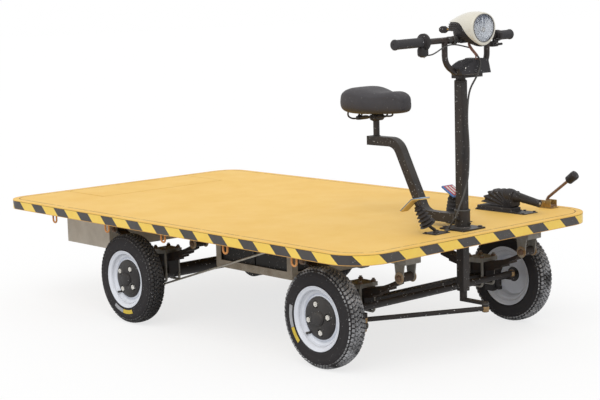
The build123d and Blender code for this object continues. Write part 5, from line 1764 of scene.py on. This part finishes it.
# The bars' line in X and Z: where it starts and how far it runs
tread_start = (0.9294, 0.5539)
tread_run = (0.052, 0.0447)
tread_bar_size = (2 * accelerator_half * 0.86, 0.0030, 0.0016)
tread_bar_slope = (-0.65, 0, 0.76)
tread_bar_bevel = 0.0004
accelerator_foot = (1.018, -0.150, sheet_top)
accelerator_pad = (0.985, -0.208, 0.588)
brake_foot = (0.918, 0.084, sheet_top)
brake_pad = (0.955, 0.028, 0.598)
brake_tilt = math.radians(30)
brake_half = 0.030
brake_thick_half = 0.004
pad_half_length = 0.036
insert_margin = 0.006
rib_half_length = 0.024
rib_half_width = 0.0035
rod_r = 0.0062
foot_plate_top = sheet_top + 0.0028
# How far the foot plate reaches from the rod's foot, low corner and high corner
plate_low_reach = (-0.030, -0.024)
plate_high_reach = (0.034, 0.056)
plate_bolt_reach = [(-0.022, -0.016), (0.026, -0.016), (-0.022, 0.046), (0.026, 0.046)]
plate_bolt = (0.0052, 0.0036)
bolt_sunk = 0.0002
# The rod's foot leans away from the plate's middle before the rod turns up
rod_lean = (0.006, 0.010)
grommet_line = [
    (0.006, 0.0), (0.0115, 0.0), (0.0120, 0.002), (0.0100, 0.006), (0.0070, 0.0075), (0.006, 0.007),
]
pedal_silver = finish(
    "pedal_silver", (120, 156, 196), (104, 128, 156), 0.35, metallic=0.4, coat=0.2, patch_scale=60.0,
    dust=0.25, specks=0.2,
)
pedal_cream = finish(
    "pedal_cream", (214, 184, 112), (184, 150, 88), 0.5, patch_scale=40.0, dust=0.25, specks=0.2,
)
pedal_blue = finish(
    "pedal_blue", (48, 104, 170), (38, 80, 132), 0.4, coat=0.2, patch_scale=60.0, dust=0.2, specks=0.2,
)
insert_red = finish("insert_red", (196, 66, 72), (170, 52, 60), 0.5, patch_scale=60.0, dust=0.25, specks=0.1)
insert_white = finish(
    "insert_white", (224, 222, 220), (206, 200, 196), 0.5, patch_scale=60.0, dust=0.25, specks=0.1,
)


def bent_plate(profile, y, half, thickness):
    """A strip of sheet that follows a side profile, with softened edges."""
    shape = bmesh.new()
    points = [shape.verts.new((x, y - half, z)) for x, z in profile]
    edges = [shape.edges.new(pair) for pair in zip(points, points[1:])]
    grown = bmesh.ops.extrude_edge_only(shape, edges=edges)["geom"]
    bmesh.ops.translate(shape, verts=only_vertices(grown), vec=(0, 2 * half, 0))
    bmesh.ops.recalc_face_normals(shape, faces=shape.faces)
    if sum(face.normal.z for face in shape.faces) < 0:
        bmesh.ops.reverse_faces(shape, faces=shape.faces)
    bmesh.ops.solidify(shape, geom=shape.faces[:], thickness=thickness)
    sharp_edges = [edge for edge in shape.edges if edge.is_manifold and edge.calc_face_angle() > 1.0]
    soften(shape, sharp_edges, thickness * 0.22, 2)
    return shape


def accelerator():
    """A thick cream pad, a thin silver sheet over it, and bars across the part where the toe rests."""
    whole = bent_plate(accelerator_profile, accelerator_y, accelerator_half, accelerator_thickness)
    cream = set(whole.faces)
    silver = [(x - silver_back, z + silver_up) for x, z in accelerator_profile]
    absorb(whole, bent_plate(silver, accelerator_y, accelerator_half + silver_wider, silver_thickness))
    for index in range(tread_bars):
        share = (index + 0.8) / (tread_bars + 1)
        x, z = (start + run * share for start, run in zip(tread_start, tread_run))
        spot = facing((x, accelerator_y, z), tread_bar_slope)
        add_block(whole, tread_bar_size, spot, bevel=tread_bar_bevel)
    paint_rest(whole, cream, 1)
    return whole


def brake():
    """A rounded pad, a rubber insert in it, and three raised ribs on the insert."""
    tilted = Matrix.Translation(brake_pad) @ Matrix.Rotation(brake_tilt, 4, "Y")
    corner = Vector((pad_half_length, brake_half, brake_thick_half))
    whole = bmesh.new()
    soft_box(whole, -corner, corner, 0.0032, matrix=tilted)
    blue = set(whole.faces)
    length, width = pad_half_length - insert_margin, brake_half - insert_margin
    soft_box(whole, (-length, -width, 0.002), (length, width, 0.0058), 0.0012, 2, tilted)
    red = paint_rest(whole, blue, 1)
    for y in (-0.016, 0.0, 0.016):
        low = (-rib_half_length, y - rib_half_width, 0.0052)
        soft_box(whole, low, (rib_half_length, y + rib_half_width, 0.0070), 0.0008, 2, tilted)
    paint_rest(whole, red, 2)
    return whole


def pedal_rods():
    """The rods, each with a bend near the deck, and their foot plates."""
    shape = bmesh.new()
    for foot, pad in ((accelerator_foot, accelerator_pad), (brake_foot, brake_pad)):
        foot, pad = Vector(foot), Vector(pad)
        reach = pad - foot
        low = foot + reach * 0.34
        run = [
            foot + Vector((*rod_lean, 0.0)), foot + Vector((0.005, 0.009, 0.012)),
            foot + reach * 0.2 + Vector((0.002, 0.004, 0)), low, (low + pad) / 2, pad - reach * 0.03,
        ]
        absorb(shape, smooth_run(run, rod_r, sides=4))
        (low_x, low_y), (high_x, high_y) = plate_low_reach, plate_high_reach
        plate_low = (foot.x + low_x, foot.y + low_y, sheet_top)
        soft_box(shape, plate_low, (foot.x + high_x, foot.y + high_y, foot_plate_top), 0.0008, segments=2)
        for dx, dy in plate_bolt_reach:
            spot = (foot.x + dx, foot.y + dy, foot_plate_top - bolt_sunk)
            add_nut(shape, facing(spot, (0, 0, 1)), *plate_bolt)
        grommet = (foot.x + rod_lean[0], foot.y + rod_lean[1], foot_plate_top - bolt_sunk)
        absorb(shape, turned(grommet_line, grommet, steps=32, closed=True))
    return shape


piece(
    "accelerator_pad", accelerator(), [pedal_cream, pedal_silver], "chassis", ["pedals"],
    sharp=40.0,
)
piece("brake_pad", brake(), [pedal_blue, insert_red, insert_white], "chassis")
piece("pedal_rods", pedal_rods(), column_black, "chassis")

# Gaiters: moulded black rubber bellows that keep dust out of the pedals and the handbrake.
# The handbrake's is a fan of pleats on a rubber base, and a ribbed sleeve covers its lever down to a
# steel button.
gaiter_folds = 5
gaiter_low_share = 0.28
gaiter_high_share = 0.85
gaiter_foot_line = [(0.0066, 0.0015), (0.0300, 0.0), (0.0312, 0.0012), (0.0296, 0.0030)]
# Each fold: shares of its ridge's radius and of its length
gaiter_fold_line = [(0.66, 0.10), (0.74, 0.24), (1.0, 0.50), (1.01, 0.55), (0.97, 0.60), (0.68, 0.90)]
gaiter_ridge_r = 0.0285
gaiter_narrowing = 0.0125
gaiter_folded_share = 0.9
gaiter_lip = 0.004
brake_gaiter_width = 1.2
lever_y = 0.429
fan_pivot_x = 0.923
fan_pivot_z = 0.4835
fan_foot_z = 0.4832
fan_half_width = 0.0265
fan_tuck = 0.006
fan_valley = 0.011
# This share of the grid lies over the top and rounds off by the shoulder's drop.
# The rest goes down the sides.
fan_top_share = 0.55
fan_shoulder = 0.010
fan_side_r = 0.006
# Each ridge of the fan: degrees above forward, and distance from the pivot
fan_ridges = [
    (90, 0.066), (108, 0.074), (122, 0.085), (135, 0.100), (146, 0.122), (156, 0.142), (166, 0.157),
    (175, 0.166),
]
fan_steps = 8
fan_across = 28
sleeve_start = (0.878, lever_y, 0.5330)
sleeve_end = (1.043, lever_y, 0.5105)
sleeve_line = [
    (0.0, -0.012), (0.0200, -0.006), (0.0262, 0.006), (0.0275, 0.020), (0.0250, 0.036), (0.0200, 0.050),
    (0.0168, 0.060), (0.0150, 0.068),
]
# Each rib of the sleeve: radius, and distance from where the rib starts
sleeve_rib = [(0.0138, 0.0), (0.0150, 0.0016), (0.0150, 0.0036), (0.0138, 0.0052)]
sleeve_ribs_from = 0.070
sleeve_rib_pitch = 0.0062
sleeve_cuff = 0.012
base_boxes = [
    ((0.7452, 0.4000, 0.4685), (0.9255, 0.4580, 0.4840), 0.0035, 3),
    ((0.7425, 0.3975, 0.4685), (0.9280, 0.4605, 0.4725), 0.0012, 2),
]
button_line = [(0.0, -0.004), (0.0056, -0.004), (0.0056, 0.0020), (0.0044, 0.0034), (0.0, 0.0038)]
handbrake_bolts_x = (0.752, 0.838, 0.940, 0.988)
handbrake_bolts_y = (0.394, 0.464)
handbrake_bolts_z = 0.4690
handbrake_bolt = (0.0058, 0.0040)
gaiter_rubber = finish(
    "gaiter_rubber", (36, 34, 35), (50, 46, 46), 0.55, patch_scale=30.0, patchiness=0.7, dust=0.3,
    dust_colour=rgb(92, 86, 84), specks=0.35, grain_scale=700.0, specular=0.35,
)


def pedal_gaiter(foot, pad, width=1.0):
    """A turned bellows, wide at its foot, with sharp ridges and a cuff under the pad."""
    foot, pad = Vector(foot), Vector(pad)
    low = foot + (pad - foot) * gaiter_low_share
    high = foot + (pad - foot) * gaiter_high_share
    length = (high - low).length
    step = length * gaiter_folded_share / gaiter_folds
    line = list(gaiter_foot_line)
    for fold in range(gaiter_folds):
        share = fold / gaiter_folds
        ridge = gaiter_ridge_r - gaiter_narrowing * share
        start = share * length * gaiter_folded_share + gaiter_lip
        line += [(ridge * wide, start + along * step) for wide, along in gaiter_fold_line]
    line += [(0.0125, length * 0.93), (0.0138, length * 0.95), (0.0138, length), (0.0066, length)]
    return turned(line, facing(low, high - low) @ Matrix.Diagonal((width, width, 1, 1)), steps=48)


def fan_fold(share):
    """Angle, radius and fold depth at a share of the way round the fan."""
    place = share * (len(fan_ridges) - 1)
    index = min(int(place), len(fan_ridges) - 2)
    part = place - index
    near, far = fan_ridges[index], fan_ridges[index + 1]
    depth = (0.5 - 0.5 * math.cos(2 * math.pi * place)) ** 0.8
    return near[0] + (far[0] - near[0]) * part, near[1] + (far[1] - near[1]) * part, depth


def bellows_fan():
    """A grid bent over the lever: one way round the pleats, the other up one side, over the top and down."""
    shape = bmesh.new()
    rows = fan_steps * (len(fan_ridges) - 1)
    bmesh.ops.create_grid(shape, x_segments=rows, y_segments=fan_across, size=0.5)
    ends = []
    for end in (-0.5, 0.5):
        rim = [vertex for vertex in shape.verts if abs(vertex.co.x - end) < 0.001]
        ends.append(sorted(rim, key=lambda vertex: vertex.co.y))
    for vertex in shape.verts:
        angle, reach, depth = fan_fold(vertex.co.x + 0.5)
        radius = reach - fan_valley * depth
        half = fan_half_width - fan_tuck * depth
        over = vertex.co.y * 2
        if abs(over) > fan_top_share:
            down = (abs(over) - fan_top_share) / (1 - fan_top_share)
            shoulder = radius - fan_shoulder
            radius = shoulder - (shoulder - fan_side_r) * down ** 1.4
            across = math.copysign(half, over)
        else:
            bend = abs(over) / fan_top_share
            radius = radius - fan_shoulder * bend ** 3
            across = math.copysign(half * (1 - (1 - bend) ** 1.6), over)
        turn = math.radians(angle)
        z = max(fan_pivot_z + radius * math.sin(turn), fan_foot_z)
        vertex.co = (fan_pivot_x + radius * math.cos(turn), lever_y + across, z)
    for end in ends:
        shape.faces.new(end)
    bmesh.ops.recalc_face_normals(shape, faces=shape.faces)
    return shape


def lever_sleeve():
    """The ribbed sleeve from the fan's top to the lever's end."""
    run = Vector(sleeve_end) - Vector(sleeve_start)
    length = run.length
    line = list(sleeve_line)
    start = sleeve_ribs_from
    while start < length - sleeve_cuff:
        line += [(r, start + along) for r, along in sleeve_rib]
        start += sleeve_rib_pitch
    line += [
        (0.0152, length - 0.006), (0.0152, length - 0.001), (0.0135, length), (0.0060, length),
        (0.0055, length - 0.001), (0.0, length - 0.001),
    ]
    return turned(line, facing(sleeve_start, run))


def gaiters():
    """Both pedals' bellows, the handbrake's fan, its lever's sleeve and its rubber base."""
    shape = pedal_gaiter(accelerator_foot, accelerator_pad)
    absorb(shape, pedal_gaiter(brake_foot, brake_pad, brake_gaiter_width))
    absorb(shape, bellows_fan())
    absorb(shape, lever_sleeve())
    for box in base_boxes:
        soft_box(shape, *box)
    return shape


def lever_button():
    return turned(button_line, facing(sleeve_end, Vector(sleeve_end) - Vector(sleeve_start)), steps=32)


piece("rubber_gaiters", gaiters(), gaiter_rubber, "chassis", ["gaiters"], sharp=50.0)
piece("handbrake_button", lever_button(), rod_steel, "chassis")
dress(column_black, "handbrake")


def handbrake_bolts():
    shape = bmesh.new()
    for x in handbrake_bolts_x:
        for y in handbrake_bolts_y:
            add_nut(shape, facing((x, y, handbrake_bolts_z), (0, 0, 1)), *handbrake_bolt)
    return shape


piece("handbrake_bolts", handbrake_bolts(), column_black, "chassis")

# Gear lever: a bent rod in a brass-plated bracket at the deck's left edge, with a tapered plastic knob.
# Its bracket is folded plate with two ears, bolted down.
gear_brown = finish(
    "gear_brown", (124, 90, 66), (92, 66, 48), 0.45, metallic=0.2, patch_scale=60.0, dust=0.25, specks=0.3,
)
dress(gear_brown, "gear_lever")
bracket_foot = ((0.9140, 0.5760, sheet_top), (0.9840, 0.6240, 0.4695), 0.0012, 2)
foot_bolts_x = (0.9180, 0.9790)
foot_bolts_y = 0.6000
foot_bolts_z = 0.4694
foot_bolt = (0.0050, 0.0036)
# The two ears: the right face of each, its corners in X and Z, its thickness and its edge radius
ears_y = (0.5790, 0.6180)
ear_low_x, ear_low_z = (0.9200, 0.4680)
ear_high_x, ear_high_z = (0.9760, 0.4980)
ear_thickness = 0.0030
ear_edge = 0.0012
pivot_x, pivot_z = (0.9460, 0.4880)
pivot_sunk = 0.0002
pivot_bolt = (0.0062, 0.0040, 0.002)
# The knob is turned, wider towards its top, and pressed on the rod's end
knob_line = [
    (0.0, -0.0225), (0.0150, -0.0222), (0.0176, -0.0205), (0.0184, 0.0), (0.0190, 0.0140),
    (0.0178, 0.0205), (0.0120, 0.0235), (0.0, 0.0238),
]
knob_frame = facing((1.068, 0.600, 0.597), (0.122, 0, 0.091))


def gear_bracket():
    shape = bmesh.new()
    soft_box(shape, *bracket_foot)
    for y in ears_y:
        ear_high = (ear_high_x, y + ear_thickness, ear_high_z)
        soft_box(shape, (ear_low_x, y, ear_low_z), ear_high, ear_edge, segments=2)
        add_nut(shape, facing((pivot_x, y - pivot_sunk, pivot_z), (0, -1, 0)), *pivot_bolt)
    for x in foot_bolts_x:
        add_nut(shape, facing((x, foot_bolts_y, foot_bolts_z), (0, 0, 1)), *foot_bolt)
    return shape


piece("gear_bracket", gear_bracket(), brass, "chassis", sharp=40.0)
piece("gear_knob", turned(knob_line, knob_frame), control_plastic, "chassis", sharp=50.0)

# Frame below: storage box of folded zinc sheet, battery tray of steel angle, plain batteries and rope hooks.
# The hooks are bent rod in yellow paint, coloured a darker orange as painted shade under the rim.
sheet_zinc = finish(
    "sheet_zinc", (204, 196, 182), (176, 166, 150), 0.5, metallic=0.15, patch_scale=9.0,
    patchiness=0.7, dust=0.3, dust_colour=rgb(168, 160, 146), specks=0.25, grain_scale=240.0,
)
tray_grey = finish(
    "tray_grey", (170, 160, 144), (134, 122, 106), 0.55, relief=0.0003, metallic=0.2, patch_scale=20.0,
    patchiness=0.7, dust=0.3, dust_colour=rgb(140, 130, 114), specks=0.4,
)
battery_case = finish(
    "battery_case", (26, 26, 28), (38, 37, 38), 0.5, patch_scale=14.0, dust=0.35, dust_colour=rgb(96, 92, 86),
    specks=0.3, specular=0.3,
)
# Yellow hook paint darkened to orange: painted shade under the rim.
hook_paint_painted_shade = finish(
    "hook_paint_painted_shade", (226, 158, 82), (186, 116, 58), 0.6, relief=0.0003, patch_scale=70.0, patchiness=0.8,
    dust=0.2, specks=0.3,
)
dress(sheet_zinc, "storage_box")
dress(tray_grey, "battery_tray")
dress(battery_case, "batteries")
dress(hook_paint_painted_shade, "rope_hooks")

# Ball joints: a plated housing on each end of the rods, a black rubber boot over its stud, and a plain nut.
# Road salt has turned the plating olive and brass.
ball_brass = finish(
    "ball_brass", (150, 118, 66), (104, 80, 52), 0.45, metallic=0.5, patch_scale=80.0, patchiness=0.7,
    dust=0.3, specks=0.4,
)
ball_line = [
    (0.0, -0.0135), (0.0100, -0.0135), (0.0128, -0.0110), (0.0138, -0.0060), (0.0138, 0.0060),
    (0.0120, 0.0100), (0.0095, 0.0125), (0.0, 0.0125),
]
boot_line = [
    (0.0070, 0.0), (0.0125, 0.0005), (0.0142, 0.0030), (0.0138, 0.0065), (0.0105, 0.0090), (0.0070, 0.0095),
]
boot_up = 0.0125
long_boot_line = [
    (0.0060, 0.0), (0.0145, 0.0010), (0.0162, 0.0060), (0.0150, 0.0160), (0.0110, 0.0210), (0.0060, 0.0220),
]
long_boot_down = 0.0130
stud_nut_along = 0.0215
stud_nut = (0.0095, 0.0090, 0.005)
pitman_ball = (1.135, 0.0, 0.179)
knuckle_ball = (0.930, -0.425, 0.179)
track_balls = [(0.902, 0.425, 0.217), (0.902, -0.425, 0.217)]


def ball_housings(places):
    shape = bmesh.new()
    for place in places:
        absorb(shape, turned(ball_line, place))
    return shape


def ball_boots(places, over):
    """Boots that stand on the housings, on the side where each stud goes into its arm."""
    shape = bmesh.new()
    for place in places:
        spot = facing((place[0], place[1], place[2] + over * boot_up), (0, 0, over))
        absorb(shape, turned(boot_line, spot, closed=True))
    return shape


drag_balls = ball_housings([pitman_ball, knuckle_ball])
piece("drag_link_balls", drag_balls, ball_brass, "drag_link", sharp=50.0)
piece("track_rod_balls", ball_housings(track_balls), ball_brass, "tie_rod", sharp=50.0)
piece("drag_link_boots", ball_boots([pitman_ball], 1), hard_rubber, "drag_link", sharp=50.0)


def stud_boot():
    """The long boot below the right knuckle's ball, and the nut on its stud."""
    x, y, z = knuckle_ball
    below = facing((x, y, z - long_boot_down), (0, 0, -1))
    shape = turned(long_boot_line, below, closed=True)
    rubber = set(shape.faces)
    add_nut(shape, below @ Matrix.Translation((0, 0, stud_nut_along)), *stud_nut)
    paint_rest(shape, rubber, 1)
    return shape


piece("stud_boot", stud_boot(), [hard_rubber, ball_brass], "drag_link", sharp=50.0)

# Hanger cheeks: each folded spring hanger has a zinc block where it is welded below the rim.
# A round cheek lies on each of its ears over the pin, and its plating has gone brassy.
cheek_line = [(0.0120, 0.0), (0.0215, 0.0), (0.0222, 0.0010), (0.0215, 0.0022), (0.0120, 0.0022)]
cheek_reach = 0.0318
# The block's reach behind, ahead and to each side of the pin, its height and its edge radius
block_behind = 0.036
block_ahead = 0.040
block_aside = 0.0395
block_height = 0.036
block_edge = 0.002
hanger_brass = finish(
    "hanger_brass", (150, 112, 60), (176, 170, 156), 0.45, metallic=0.4, patch_scale=46.0, patchiness=0.8,
    dust=0.3, specks=0.3,
)
deck_under_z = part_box("deck_rim")[0].z


def hanger_blocks():
    shape = bmesh.new()
    for axle_x, spring_y, ahead, behind in spring_rows:
        for side in (-1, 1):
            x, y = axle_x + ahead, side * spring_y
            low = (x - block_behind, y - block_aside, deck_under_z - block_height)
            soft_box(shape, low, (x + block_ahead, y + block_aside, deck_under_z), block_edge, segments=2)
    return shape


hanger_cheeks = both_sides(cheek_line, cheek_reach, spring_eyes(False), 40)
piece("hanger_cheeks", hanger_cheeks, hanger_brass, "chassis", sharp=40.0)
piece("hanger_blocks", hanger_blocks(), hanger_zinc, "chassis")
